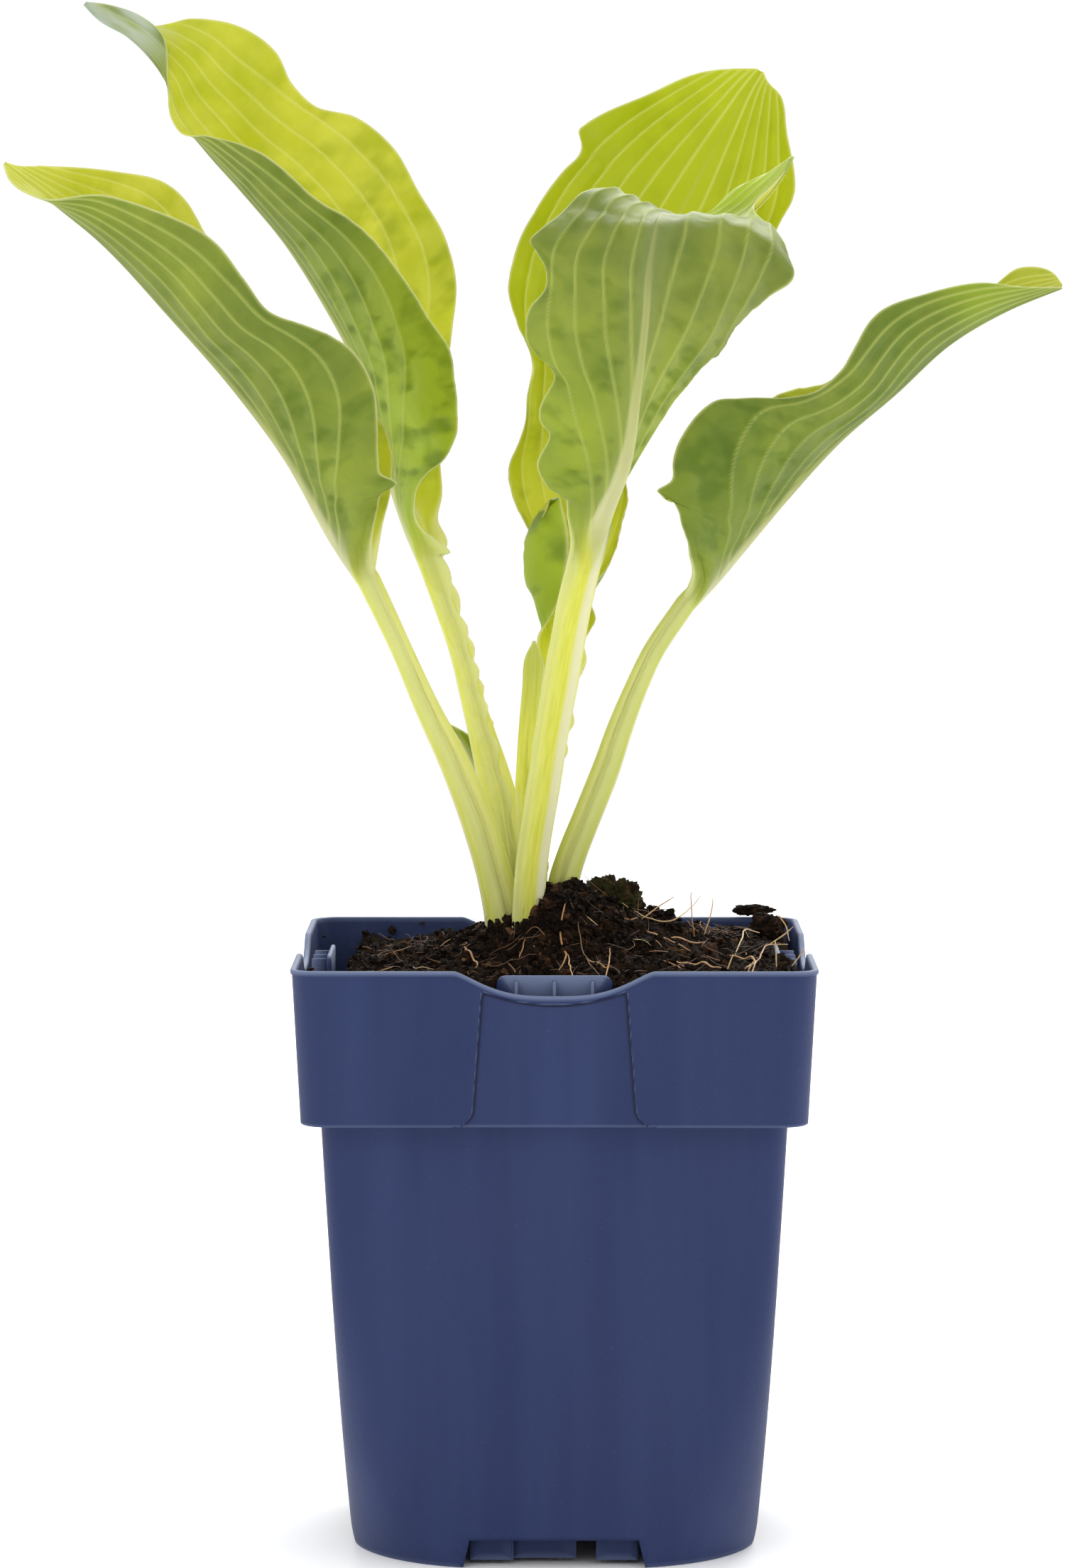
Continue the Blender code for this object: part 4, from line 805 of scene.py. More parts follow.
def make_foot_panels(material):
    """The short panels under the floor that show in the notches."""
    parts = []
    top = FLOOR_UNDERSIDE + 0.5
    half_thick = SKIRT_THICKNESS / 2
    near, far = SKIRT_PANELS[0][2], SKIRT_PANELS[1][2]
    for turn in QUARTER_TURNS:
        for x, width, inset in SKIRT_PANELS:
            outline = round_rect(x - width / 2, x + width / 2, SKIRT_FOOT, top, 0.3, 3)
            parts.append(slab(outline, -inset - half_thick, -inset + half_thick, turn, soft=0.2))
        outline = round_rect(SKIRT_RETURN_X - half_thick, SKIRT_RETURN_X + half_thick, SKIRT_FOOT - 0.1,
                             top - 0.1, 0.3, 3)
        parts.append(slab(outline, -near - 0.3, -far + 0.3, turn, soft=0.2))
    shape = joined(parts)
    # painted highlight along the panels' bottom edges
    edge_highlight = ease((SKIRT_FOOT + 0.7 - shape[0][:, 2]) / 0.6) * 0.6
    return piece("foot_panels", shape, [], [material], {"edge_highlight": edge_highlight})


def cut_foot(pot):
    """Cuts the four foot notches and the drain holes out of the pot."""
    parts = []
    for turn in QUARTER_TURNS:
        outline = [(-NOTCH_FOOT_HALF, -1.0), (NOTCH_FOOT_HALF, -1.0), (NOTCH_TOP_HALF, NOTCH_HEIGHT),
                   (-NOTCH_TOP_HALF, NOTCH_HEIGHT)]
        parts.append(slab(outline, -BASE_HALF - 3, -BASE_HALF + 4, turn, soft=0.0))
    round_way = np.linspace(0, 2 * pi, 40, endpoint=False)
    for k in range(DRAIN_COUNT + 1):
        reach = DRAIN_RING if k < DRAIN_COUNT else 0.0
        angle = 2 * pi * (k + 0.5) / DRAIN_COUNT
        circle = np.stack([reach * cos(angle) + DRAIN_RADIUS * np.cos(round_way),
                           reach * sin(angle) + DRAIN_RADIUS * np.sin(round_way)], -1)
        levels = (FLOOR_UNDERSIDE - 3, FLOOR_TOP + 3)
        rings = [np.column_stack([circle, np.full(len(circle), z)]) for z in levels]
        parts.append(skin(np.array(rings)))
    verts, quads, fans = joined(parts)
    mesh = bpy.data.meshes.new("foot_cutter")
    mesh.from_pydata((verts * MM).tolist(), [], quads.tolist() + fans.tolist())
    cutter = bpy.data.objects.new("foot_cutter", mesh)
    bpy.context.scene.collection.objects.link(cutter)
    modifier = pot.modifiers.new("foot", "BOOLEAN")
    modifier.operation = "DIFFERENCE"
    modifier.solver = "EXACT"
    modifier.object = cutter
    shown = pot.evaluated_get(bpy.context.evaluated_depsgraph_get())
    carved = bpy.data.meshes.new_from_object(shown)
    pot.modifiers.clear()
    pot.data = carved
    bpy.data.objects.remove(cutter, do_unlink=True)


# ================================================================ peat
PEAT_SIDE_LEVELS = (80.0, 58.0, 40.0, 27.0, 17.0)
CRUMB_SIZES = (  # piece, number, smallest and largest radius, fineness, seed
    ("fine", 9000, 0.3, 0.8, 1, 21), ("middle", 1100, 0.8, 1.5, 2, 22), ("coarse", 110, 1.4, 2.2, 3, 23),
)
MOUND_SHARE = 0.45
WALL_CRUMBS = ((-40, 149), (-31, 150), (-22, 147), (5, 146), (20, 149), (34, 144), (47, 150))
BACK_WALL_CRUMBS = ((-51, 148), (-44, 150), (-36, 152), (-30, 146), (-26, 149))


def soil_height(x, y):
    """Height of the peat in millimetres: a level with soft lumps and hollows, sunk along the left wall."""
    z = SOIL_LEVEL - LEFT_GAP_DEPTH * ease((LEFT_GAP_STARTS - x) / LEFT_GAP_RUN)
    for lump_x, lump_y, height, spread_out in SOIL_LUMPS:
        z = z + height * np.exp(-((x - lump_x) ** 2 + (y - lump_y) ** 2) / (2 * spread_out ** 2))
    return z + 0.5 * np.sin(0.43 * x + 0.9) * np.cos(0.37 * y) + 0.3 * np.sin(0.9 * x - 0.7 * y)


def rough_soil_height(x, y):
    """The peat's height with its crumbly surface."""
    flat = np.stack([x, y, np.zeros_like(x)], -1)
    return soil_height(x, y) + 1.2 * lumps(flat, 5.0, 3, 5, 0.68)


def make_soil(material):
    """The peat: rings from the middle of its top out to the wall, then down the inside of the pot."""
    wall = COLLAR_FOOT_HALF - COLLAR_WALL - GAP
    edge = square_ring(wall, COLLAR_RADIUS - COLLAR_WALL - GAP, 0)
    beside_tab = TAB_INSET - TAB_THICKNESS - GAP
    for across, out in ((0, 1), (1, 0)):
        room = (np.abs(edge[:, across]) < TAB_HALF_WIDTH + GAP) & (np.abs(edge[:, out]) > beside_tab)
        edge[room, out] = np.sign(edge[room, out]) * beside_tab
    rings = []
    for share in np.linspace(0.01, 1, 96):
        x, y = edge[:, 0] * share, edge[:, 1] * share
        rings.append(np.column_stack([x, y, rough_soil_height(x, y)]))
    shoulder = COLLAR_FOOT_Z + SHOULDER + GAP
    rings.append(np.column_stack([edge[:, :2], np.full(len(edge), shoulder)]))
    inside = GAP + BODY_WALL
    for z in (shoulder, *PEAT_SIDE_LEVELS, FLOOR_TOP + GAP):
        rings.append(square_ring(body_half(z) - inside, body_radius(z) - inside, z))
    rings = np.array(rings)[:, ::2]
    return piece("peat_bed", skin(rings), ["potting_soil"], [material])


def ball(detail):
    """An icosphere of radius 1: (verts, faces)."""
    shaping = bmesh.new()
    bmesh.ops.create_icosphere(shaping, subdivisions=detail, radius=1.0)
    verts = np.array([v.co[:] for v in shaping.verts])
    faces = np.array([[v.index for v in f.verts] for f in shaping.faces])
    shaping.free()
    return verts, faces


def turned(count, rng):
    """Random turns: orthogonal matrices from the QR of random numbers."""
    q = np.linalg.qr(rng.normal(size=(count, 3, 3)))[0]
    q[:, :, 0] *= np.sign(np.linalg.det(q))[:, None]
    return q


def crumb_mesh(places, sizes, tones, detail, seed):
    """Many crumbs in one mesh: each is a ball, jittered, squashed, turned and set in place."""
    rng = np.random.default_rng(seed)
    verts, faces = ball(detail)
    count = len(places)
    jitter = 1 + 0.42 * rng.uniform(-1, 1, (count, len(verts), 1))
    squash = rng.uniform(0.4, 1.35, (count, 1, 3))
    shaped = verts[None] * jitter * squash * sizes[:, None, None]
    shaped = np.einsum("nij,nvj->nvi", turned(count, rng), shaped) + places[:, None]
    all_faces = faces[None] + (np.arange(count) * len(verts))[:, None, None]
    return shaped.reshape(-1, 3), all_faces.reshape(-1, 3), np.repeat(tones, len(verts))


def inside_wall(x, y, room):
    """Whether a place keeps that much room to the pot's walls and to its tabs."""
    wall = COLLAR_FOOT_HALF - COLLAR_WALL - room
    near = TAB_INSET - TAB_THICKNESS - room
    wide = TAB_HALF_WIDTH + room
    far_x, far_y = np.abs(x), np.abs(y)
    at_tab = ((far_y > near) & (far_x < wide)) | ((far_x > near) & (far_y < wide))
    return (far_x < wall) & (far_y < wall) & ~at_tab


def make_crumbs(material):
    """Loose crumbs all over the peat, in three sizes, thickest on the mound round the crown."""
    rng = np.random.default_rng(11)
    wall = COLLAR_FOOT_HALF - COLLAR_WALL
    reach = wall - 1.5
    parts = {}
    for label, count, low, high, detail, seed in CRUMB_SIZES:
        x, y = rng.uniform(-reach, reach, (2, count))
        on_mound = np.arange(count) < count * MOUND_SHARE
        x = np.where(on_mound, np.clip(rng.normal(2, 15, count), -reach, reach), x)
        y = np.where(on_mound, np.clip(rng.normal(-12, 13, count), -reach, reach), y)
        sizes = rng.uniform(low, high, count)
        tones = rng.beta(1.3, 2.6, count)
        z = rough_soil_height(x, y) + sizes * rng.uniform(-0.3, 0.55, count)
        keep = inside_wall(x, y, high)
        places = np.column_stack([x, y, z])[keep]
        parts[label] = crumb_mesh(places, sizes[keep], tones[keep], detail, seed)
    on_walls = [(-wall, y, z) for y, z in WALL_CRUMBS] + [(x, wall + 1.2, z) for x, z in BACK_WALL_CRUMBS]
    sizes = rng.uniform(0.5, 1.1, len(on_walls))
    tones = rng.uniform(0.5, 0.9, len(on_walls))
    extra = crumb_mesh(np.array(on_walls, float), sizes, tones, 2, 24)
    verts, faces, tones = parts["middle"]
    parts["middle"] = (np.concatenate([verts, extra[0]]), np.concatenate([faces, extra[1] + len(verts)]),
                       np.concatenate([tones, extra[2]]))
    for label, (verts, faces, tones) in parts.items():
        piece("peat_crumbs_" + label, (verts, faces), [], [material],
              {"tone": tones, "moss": 0 * tones}, smooth=False)


def strand_mesh(paths, widths, tones, sides=4):
    """Many thin strands in one mesh: a few-sided tube, thinner at its ends, round each path of points."""
    count, steps = paths.shape[:2]
    along = unit(np.gradient(paths, axis=1))
    side = unit(np.cross(along, np.array([0.31, 0.17, 0.93])))
    up = np.cross(side, along)
    angle = np.linspace(0, 2 * pi, sides, endpoint=False)
    taper = np.sin(np.linspace(0.12, 0.9, steps) * pi) ** 0.5
    radius = (widths[:, None] * taper)[:, :, None, None] / 2
    ring = side[:, :, None] * np.cos(angle)[:, None] + up[:, :, None] * np.sin(angle)[:, None]
    rings = paths[:, :, None] + radius * ring
    skins = [skin(strand) for strand in rings]
    return joined(skins), np.repeat(tones, steps * sides + 2)


# ================================================================ leaves
VEIN_HALF_WIDTH = 0.33
VEIN_SMOOTHING = 22  # rows over which a half's width is averaged before its veins share it
STALK_CORE = 0.8  # the part of each half that is the stalk's solid core; the rest is its thin wing
PILLOW_REACH = 1.9
RIPPLE_SIZE = 3.6
RIB_THIN = 0.2
EDGE_HALF_WIDTH = 0.34
SMALL_LEAF_PALE_TO = 1.6  # small leaves keep some of their stalk's colour past their tip
# Side veins in each half, pillow height, vein depth, ripple height, margin wave height and length.
LEAF_LOOKS = {
    "leaf_left": (5, 0.45, 0.3, 0.45, 0.35, 17.0),
    "leaf_back_left": (5, 0.45, 0.3, 0.5, 0.35, 19.0),
    "leaf_front": (4, 0.55, 0.34, 0.6, 0.45, 16.0),
    "leaf_back": (5, 0.5, 0.3, 0.4, 0.4, 18.0),
    "leaf_right": (5, 0.5, 0.32, 0.5, 0.35, 17.0),
    "leaf_sheath": (2, 0.1, 0.05, 0.0, 0.0, 10.0),
    "leaf_young": (3, 0.1, 0.08, 0.0, 0.0, 10.0),
}
# Painted shade of both faces, further painted shade below, painted light above, at the foot below and at the
# tip below, and silver on the tip below and above.
LEAF_TONES = {
    "leaf_left": (0.14, 0.0, 0.0, 0.12, 0.15, 0.0, 0.0),
    "leaf_back_left": (0.0, 0.32, 0.1, 0.6, 0.15, 0.9, 0.9),
    "leaf_front": (0.0, 0.0, 0.0, 0.25, 0.85, 0.5, 0.0),
    "leaf_back": (0.0, 0.0, 0.9, 0.7, 0.15, 0.0, 0.0),
    "leaf_right": (0.42, 0.0, 0.0, 0.12, 0.45, 0.0, 0.0),
    "leaf_sheath": (1.0, 0.0, 0.0, 0.12, 0.15, 0.0, 0.0),
    "leaf_young": (0.0, 0.0, 0.0, 0.12, 0.15, 0.0, 0.0),
}
CREAM_PLACES = {"leaf_front": -0.36, "leaf_young": -3.0}  # where the cream stripe runs, if not in the middle


def leaf_guides(leaf, stalk_at, blade_at):
    """Midrib, edges, frame, stalk size and blade fraction at every row of a leaf, as a dictionary.

    The stalk's edges are its core's sides with the thin wings on them, turned from upright outwards.
    """
    stalk = follow(leaf["stalk"], stalk_at)
    rib = np.concatenate([stalk[:, :3], follow(np.concatenate([stalk[-1:, :3], np.array(leaf["rib"], float)]),
                                               blade_at[1:])])
    along = unit(np.gradient(rib, axis=0))
    upper = unit(np.cross(np.array(leaf["right_way"], float), along))
    side = np.cross(along, upper)
    rows = len(stalk_at)
    size = np.concatenate([stalk[:, 3:], np.repeat(stalk[-1:, 3:], len(blade_at) - 1, axis=0)])
    travel = np.concatenate([[0], np.cumsum(np.linalg.norm(np.diff(rib, axis=0), axis=1))])
    height = np.interp(stalk_at, np.linspace(0, 1, len(leaf["wing"])), leaf["wing"])
    amount, length = leaf["scallop"]
    guides = {"rib": rib, "side": side, "width": size[:, 0], "depth": size[:, 1], "travel": travel,
              "fraction": np.concatenate([np.zeros(rows), blade_at[1:]])}
    run = travel[:rows]
    for name, sign, phase in (("left", -1, 0.0), ("right", 1, 2.1)):
        ruffle = amount * np.sin(2 * pi * run / length + phase + 1.5 * np.sin(run / 11)) * ease(stalk_at * 4)
        wing = np.maximum(height + ruffle, 0.02)[:, None]
        core = stalk[:, :3] + sign * side[:rows] * stalk[:, 3:4] / 2
        way = upper[:rows] * cos(leaf["wing_turn"]) + sign * side[:rows] * sin(leaf["wing_turn"])
        edge = core + way * wing
        blade = follow(np.concatenate([edge[-1:], np.array(leaf[name], float)]), blade_at[1:])
        guides[name] = np.concatenate([edge, blade])
    return guides


def smoothed(values, rows):
    """Values along the rows, averaged over a soft window of that many rows on each side."""
    window = np.exp(-(np.arange(-2 * rows, 2 * rows + 1) / rows) ** 2)
    padded = np.pad(values, 2 * rows, mode="edge")
    return np.convolve(padded, window / window.sum(), mode="valid")


def vein_distance(u, across, half_width, count):
    """Distance in millimetres to the nearest side vein.

    Veins leave the midrib one after another, the outer ones first, bend over and then keep their
    share of the blade's half width up to the tip.
    """
    nearest = np.full(np.broadcast(u, across).shape, 99.0)
    for k in range(count):
        share = (k + 0.8) / (count + 0.45)
        leaves_at = 0.30 * (1 - share) ** 1.2
        place = share * ease((u - leaves_at) / 0.42) ** 0.7 * half_width
        nearest = np.minimum(nearest, np.abs(np.abs(across) - place) + 99.0 * (u < leaves_at))
    return nearest


def leaf_sheet(leaf, guides, v):
    """The leaf's middle sheet, and the length of each half, as grids of rows and columns.

    In the stalk each half runs straight across the core and then up its wing; in the blade it is a
    quadratic curve from the midrib to its edge, bowed to the underside by its cup. One turns into
    the other over the foot of the blade.
    """
    rib, u = guides["rib"], guides["fraction"]
    along = unit(np.gradient(rib, axis=0))
    sheet = np.zeros((len(rib), len(v), 3))
    half = np.zeros((len(rib), len(v)))
    turn = ease(u / 0.12)[:, None, None]
    for name, sign in (("left", -1), ("right", 1)):
        edge = guides[name]
        chord = edge - rib
        length = np.linalg.norm(chord, axis=1)
        under = -unit(np.cross(sign * chord, along))
        bow = np.interp(u, np.linspace(0, 1, len(leaf["cup_" + name])), leaf["cup_" + name])
        pull = (rib + edge) / 2 + 2 * under * (bow * length)[:, None]
        columns = np.nonzero(v * sign >= 0)[0]
        s = np.abs(v[columns])[None, :, None]
        curve = (1 - s) ** 2 * rib[:, None] + 2 * s * (1 - s) * pull[:, None] + s ** 2 * edge[:, None]
        core = rib + sign * guides["side"] * guides["width"][:, None] / 2
        inner, outer = np.clip(s / STALK_CORE, 0, 1), np.clip((s - STALK_CORE) / (1 - STALK_CORE), 0, 1)
        trough = rib[:, None] * (1 - inner) + core[:, None] * inner
        trough = trough + (edge - core)[:, None] * outer
        sheet[:, columns] = trough * (1 - turn) + curve * turn
        half[:, columns] = length[:, None]
    return sheet, half


def leaf_grid(name, leaf):
    """A leaf's middle sheet, with what its relief, thickness and marks are worked out from at every point.

    u is 0 in the stalk and runs to 1 at the blade's tip; v runs from -1 to 1, from edge to edge.
    """
    small = name in SMALL_LEAVES
    stalk_rows, blade_rows, columns = SMALL_GRID if small else FULL_GRID
    blade_at = np.linspace(0, 1, blade_rows) ** BLADE_ROW_POWER * BLADE_END
    guides = leaf_guides(leaf, np.linspace(0, 1, stalk_rows), blade_at)
    v = np.linspace(-1, 1, columns)
    sheet, half = leaf_sheet(leaf, guides, v)
    u, travel, width, depth = (guides[label][:, None] for label in ("fraction", "travel", "width", "depth"))
    steady = np.where(v < 0, smoothed(half[:, 0], VEIN_SMOOTHING)[:, None],
                      smoothed(half[:, -1], VEIN_SMOOTHING)[:, None])
    across = v * half
    plan = np.stack([across, travel + 0 * v, 0 * across], -1)
    return SimpleNamespace(small=small, sheet=sheet, half=half, u=u, v=v[None], travel=travel, depth=depth,
                           across=across, plan=plan, in_blade=ease((u - 0.01) / 0.12),
                           past_stalk=travel - travel[stalk_rows - 1],
                           distance=vein_distance(u, across, steady, LEAF_LOOKS[name][0]),
                           rib_width=0.27 * width * (1 - u) ** 2.8 + RIB_THIN)


def lift_relief(name, grid):
    """Pillows the sheet between its veins, ripples it across them and waves its margin.

    Hands back the veins' grooves and the ripples, each from 0 to 1.
    """
    _, pillow_height, vein_depth, ripple_height, wave_height, wave_length = LEAF_LOOKS[name]
    broad = np.clip(grid.half / 18, 0, 1) * grid.in_blade * ease((np.abs(grid.across) - 0.8) / 3.5)
    pillow = 1 - np.exp(-(grid.distance / PILLOW_REACH) ** 2)
    strength = ease((0.75 - grid.u) / 0.5) * 0.8 + 0.2
    ripple = lumps(grid.plan * (0.5, 1, 1), RIPPLE_SIZE, 40 + len(name), 3) * strength
    wave = np.sin(2 * pi * grid.travel / wave_length + 2.2 * lumps(grid.plan, 30.0, 7)) * np.abs(grid.v) ** 5
    groove = np.exp(-(grid.distance / VEIN_HALF_WIDTH) ** 2)
    lift = broad * (pillow * (pillow_height + ripple_height * ripple) - vein_depth * groove
                    + wave_height * wave)
    grid.sheet = grid.sheet + sheet_normals(grid.sheet) * lift[..., None]
    return groove, np.clip(0.5 + 0.5 * ripple, 0, 1) * broad


def sheet_normals(sheet):
    """Unit normals of a grid of points, on its upper side."""
    return unit(np.cross(np.gradient(sheet, axis=1), np.gradient(sheet, axis=0)))


def leaf_faces(grid):
    """Rings round the leaf: its under face, then its upper face.

    The faces lie off the sheet along its normal: an oval in the stalk, a thin sheet with a thicker
    midrib in the blade.
    """
    u, v, depth = grid.u, grid.v, grid.depth
    start = ease(u / BLADE_STARTS_OVER)
    thin = BLADE_THICKNESS / 2 * (1 - 0.55 * np.abs(v) ** 12)
    oval = 1.12 * depth / 2 * np.sqrt(np.clip(1 - (v / (STALK_CORE + 0.04)) ** 2, 0, 1))
    ridge = (0.75 * depth * (1 - u) ** 2.2 + 0.2) * np.exp(-(grid.across / (grid.rib_width * 1.3)) ** 2)
    trough = 1 - 0.28 * np.exp(-(v / 0.3) ** 2)
    below = (1 - start) * np.maximum(oval, thin) + start * (thin + 0.8 * ridge)
    above = (1 - start) * np.maximum(oval * trough, thin) + start * (thin + 0.02 * ridge)
    upper = sheet_normals(grid.sheet)
    under_face = grid.sheet - upper * below[..., None]
    upper_face = grid.sheet + upper * above[..., None]
    return np.concatenate([under_face, upper_face[:, ::-1]], axis=1)


def leaf_marks(name, grid, groove, ripple, foot):
    """The marks that the leaf's finish reads, on its under face and on its upper face."""
    shade, shade_below, painted_light_above, painted_light_below, painted_light_tip, silver_below, silver_above = LEAF_TONES[name]
    u, v, across, in_blade = grid.u, grid.v, grid.across, grid.in_blade
    height = foot[..., 2]
    wet = ease((164 - height) / 8) * ease(lumps(foot, 2.6, 8, 3) * 2.2 - 0.35)
    freckles = 0.6 * ease(lumps(foot, 0.8, 9) * 6 - 4.4) * ease((172 - height) / 12)
    edge_length = grid.half * (0.25 + 0.75 * in_blade)
    aside = ease((np.abs(across) - grid.rib_width) / 3)
    greening = ease((grid.past_stalk + 15) / 34) * aside + ease((grid.past_stalk + 1) / 24) * (1 - aside)
    streaks = ease(0.4 + 0.9 * lumps(grid.plan * (1, 0.3, 1), 4.0, 17, 3))
    silver = ease((u - 0.84) / 0.08) * streaks
    low_edge = ease((-v - 0.2) / 0.3) if name == "leaf_front" else 1.0
    below = {
        "vein": groove * in_blade,
        "keel": np.exp(-(across / (grid.rib_width * 1.15)) ** 8) * in_blade * (1 - u) ** 0.7,
        "rim": np.exp(-((1 - np.abs(v)) * edge_length / EDGE_HALF_WIDTH) ** 2),
        "pale": 1 - (ease(u / SMALL_LEAF_PALE_TO) if grid.small else greening),
        "cream": 1 - ease(u / 0.42),
        "flank": ease((np.abs(v - CREAM_PLACES.get(name, 0.0)) - 0.22) / 0.3),
        # the ripple mark also drives painted shade in the leaf finish
        "ripple": ripple,
        "bloom": 0.6 * np.exp(-(across / 5.0) ** 2) * in_blade,
        "stain": np.clip(wet + freckles, 0, 1),
        "across": across,
        "along": grid.travel,
        # painted shade and painted light on the under face; the upper face's own follow below
        "shade": shade + shade_below * ease((u - 0.12) / 0.3),
        "lit": painted_light_below * (1 - ease((u - 0.2) / 0.35)) + painted_light_tip * ease((u - 0.74) / 0.1),
        "silver": silver_below * silver * low_edge,
    }
    above = dict(below, shade=shade, lit=painted_light_above * ease((u - 0.3) / 0.3), silver=silver_above * silver)
    marks = {}
    for label in below:
        lower, higher = (np.broadcast_to(face[label], across.shape) for face in (below, above))
        marks[label] = with_poles(np.concatenate([lower, higher[:, ::-1]], axis=1))
    return marks


def make_leaf(name, leaf, underside, upperside):
    """A leaf in one closed skin, stalk and blade together, with a finish of its own on each face."""
    grid = leaf_grid(name, leaf)
    groove, ripple = lift_relief(name, grid)
    rings = leaf_faces(grid)
    rows, count = rings.shape[:2]
    marks = leaf_marks(name, grid, groove, ripple, rings[:, :count // 2])
    column = np.tile(np.arange(count), rows - 1)
    on_top = (column >= count // 2 - 1) & (column < count - 1)
    faces = np.concatenate([on_top, np.zeros(2 * count, bool)])
    piece("hosta_" + name, skin(rings), [name], [underside, upperside], marks, faces)


# ================================================================ crown, clods and straws
CROWN_CENTRE = (-8.4, -8.2)
CROWN_RADII = (8.4, 12.4)
CROWN_FOOT, CROWN_TOP = 146, 158
CLODS = (  # node, x, y, sunk z, radii, moss
    ("soil_clod_middle", 15.0, 7.0, 163.5, (7.5, 6.5, 6.0), 0.35),
    ("soil_clod_rim", 53.4, 64.2, 155.4, (4.9, 2.7, 1.3), 0.0),
    ("soil_clod_corner", 57.0, 30.0, 154.2, (4.4, 5.4, 3.4), 0.0),
)
CLOD_ROUGHNESS = 0.30
STRAW_LIES_OVER = 1.6
STRAW_WIDTH = 0.5
THICK_STRAY, THIN_STRAY = 0.36, 0.28
FIBRE_COUNT, FIBRE_STEPS = 260, 9


def make_crown(material):
    """The crown: an oval clump that is gathered where the stalk bases press together."""
    angle = np.linspace(0, 2 * pi, 96, endpoint=False)
    ripple = 1 + 0.05 * np.cos(5 * angle + 0.6)
    rings = []
    for z in np.linspace(CROWN_FOOT, CROWN_TOP, 22):
        share = (z - CROWN_FOOT) / (CROWN_TOP - CROWN_FOOT)
        grow = (1 - 0.16 * share) * (1 - 0.35 * max(0, share - 0.8) / 0.2) * ripple
        rings.append(np.column_stack([CROWN_CENTRE[0] + CROWN_RADII[0] * np.cos(angle) * grow,
                                      CROWN_CENTRE[1] + CROWN_RADII[1] * np.sin(angle) * grow,
                                      np.full(len(angle), z)]))
    rings = np.array(rings)
    stain = ease(lumps(rings, 3.0, 8, 3) * 2 - 0.3) * ease((160 - rings[..., 2]) / 6)
    piece("crown_clump", skin(rings), ["crown"], [material], {"stain": with_poles(stain)})


def make_clods(material):
    """Clods: balls pulled to their three radii and roughened by lumps of falling size."""
    down = np.linspace(0.04, pi - 0.04, 60)[:, None]
    round_way = np.linspace(0, 2 * pi, 110, endpoint=False)
    way = np.stack([np.sin(down) * np.cos(round_way), np.sin(down) * np.sin(round_way),
                    np.cos(down) + 0 * round_way], -1)
    for node, x, y, z, radii, moss in CLODS:
        points = way * radii
        rough = 1 + CLOD_ROUGHNESS * lumps(points + (x, y, 0), 3.4, 5, 5, 0.7)
        rings = points * rough[..., None] + (x, y, z)
        tone = 0.45 + 0.4 * lumps(rings, 1.6, 9, 3)
        green = moss * ease(0.5 + 0.9 * lumps(rings, 4.0, 12, 2))
        piece("peat_" + node, skin(rings), [node], [material],
              {"tone": with_poles(tone), "moss": with_poles(green)})


STRAWS = (  # node and plan of each straw, from end to end
    ("straw_front_left", ((-23, -24), (-21, -31), (-19.5, -38), (-20, -43))),
    ("straw_middle", ((3, -19), (1.5, -26), (3, -34), (1, -42))),
    ("straw_front_right", ((8, -38), (11, -41), (14, -46))),
    ("straw_right_long", ((21, -10), (27, -14), (33, -15), (39, -13))),
    ("straw_right_front", ((31, -38), (37, -43), (42, -48))),
    ("straw_corner", ((45, -22), (50, -27), (51, -36), (47, -44))),
)


STRAYS = (  # loose straws that no node stands for: points from end to end, tone
    (((3.4, -33, 154), (4, -45, 152.5), (4.6, -57, 151)), 0.75),
    (((-8.8, -34, 153.5), (-6.5, -24, 158), (-5, -29, 155.5)), 0.6),
    (((7, -16, 163), (9, -17, 161.5), (11.2, -18, 160)), 0.8),
    (((12.8, -57, 151), (13.6, -44, 153), (14.2, -32, 155.5)), 0.7),
    (((16, -9, 162), (19, -10, 160.5), (21.5, -8, 161)), 0.65),
    (((5.3, -10, 168), (5.8, -19, 163), (7, -31, 156), (9, -44, 153), (11.4, -54, 151)), 0.35),
    (((22.5, -4, 160), (26.5, -4, 163), (31, -5, 166)), 0.85),
    (((17, 2, 164), (24, -4, 160.5), (30, -8, 160), (35, -6, 163), (38, -4, 166)), 0.85),
    (((28.5, -19, 157), (32, -22, 155.5), (35, -25, 154)), 0.7),
    (((46.5, -16, 152), (48.5, -6, 155), (50.5, 4, 156.5), (53.6, 8, 155)), 0.9),
    (((49, -56, 151), (52, -38, 154), (56, -22, 155.5), (60, -18, 155)), 0.75),
    (((56, -35, 158), (56.3, -35, 155), (56.5, -36, 151)), 0.9),
    (((58.6, 10, 160), (60.2, 9, 157.5), (61.6, 8, 153)), 0.85),
    (((55.5, -2, 153), (58.5, -2, 155), (62, -3, 158)), 0.85),
    (((60, -42, 152), (61.5, -41, 154), (63.2, -41, 156.5)), 0.8),
    (((42.8, -50, 150.5), (43.8, -50, 153.5), (45, -49, 156)), 0.85),
    (((48, -53, 150), (48.8, -53, 152.5), (50, -52, 154.5)), 0.8),
    (((36.4, 0, 153), (36, 0, 160), (35.6, 1, 166.5)), 0.55),
    (((39, 9, 154), (41, 10, 160.5), (41.5, 10, 164)), 0.8),
    (((22, -4, 158), (21.6, -3, 162), (22, -3, 165.5)), 0.3),
    (((-35, 5, 149), (-34.6, 5, 152.5), (-35.2, 5, 155)), 0.3),
    (((-28, -20, 151), (-26, -14, 153.5), (-24.5, -8, 156)), 0.5),
    (((25, -30, 153), (31, -36, 152), (36, -43, 151)), 0.7),
    (((27, -34, 153), (31, -40, 152), (33, -47, 151)), 0.6),
    (((-12, -38, 152.5), (-10, -46, 151.5), (-10.5, -55, 151)), 0.45),
)


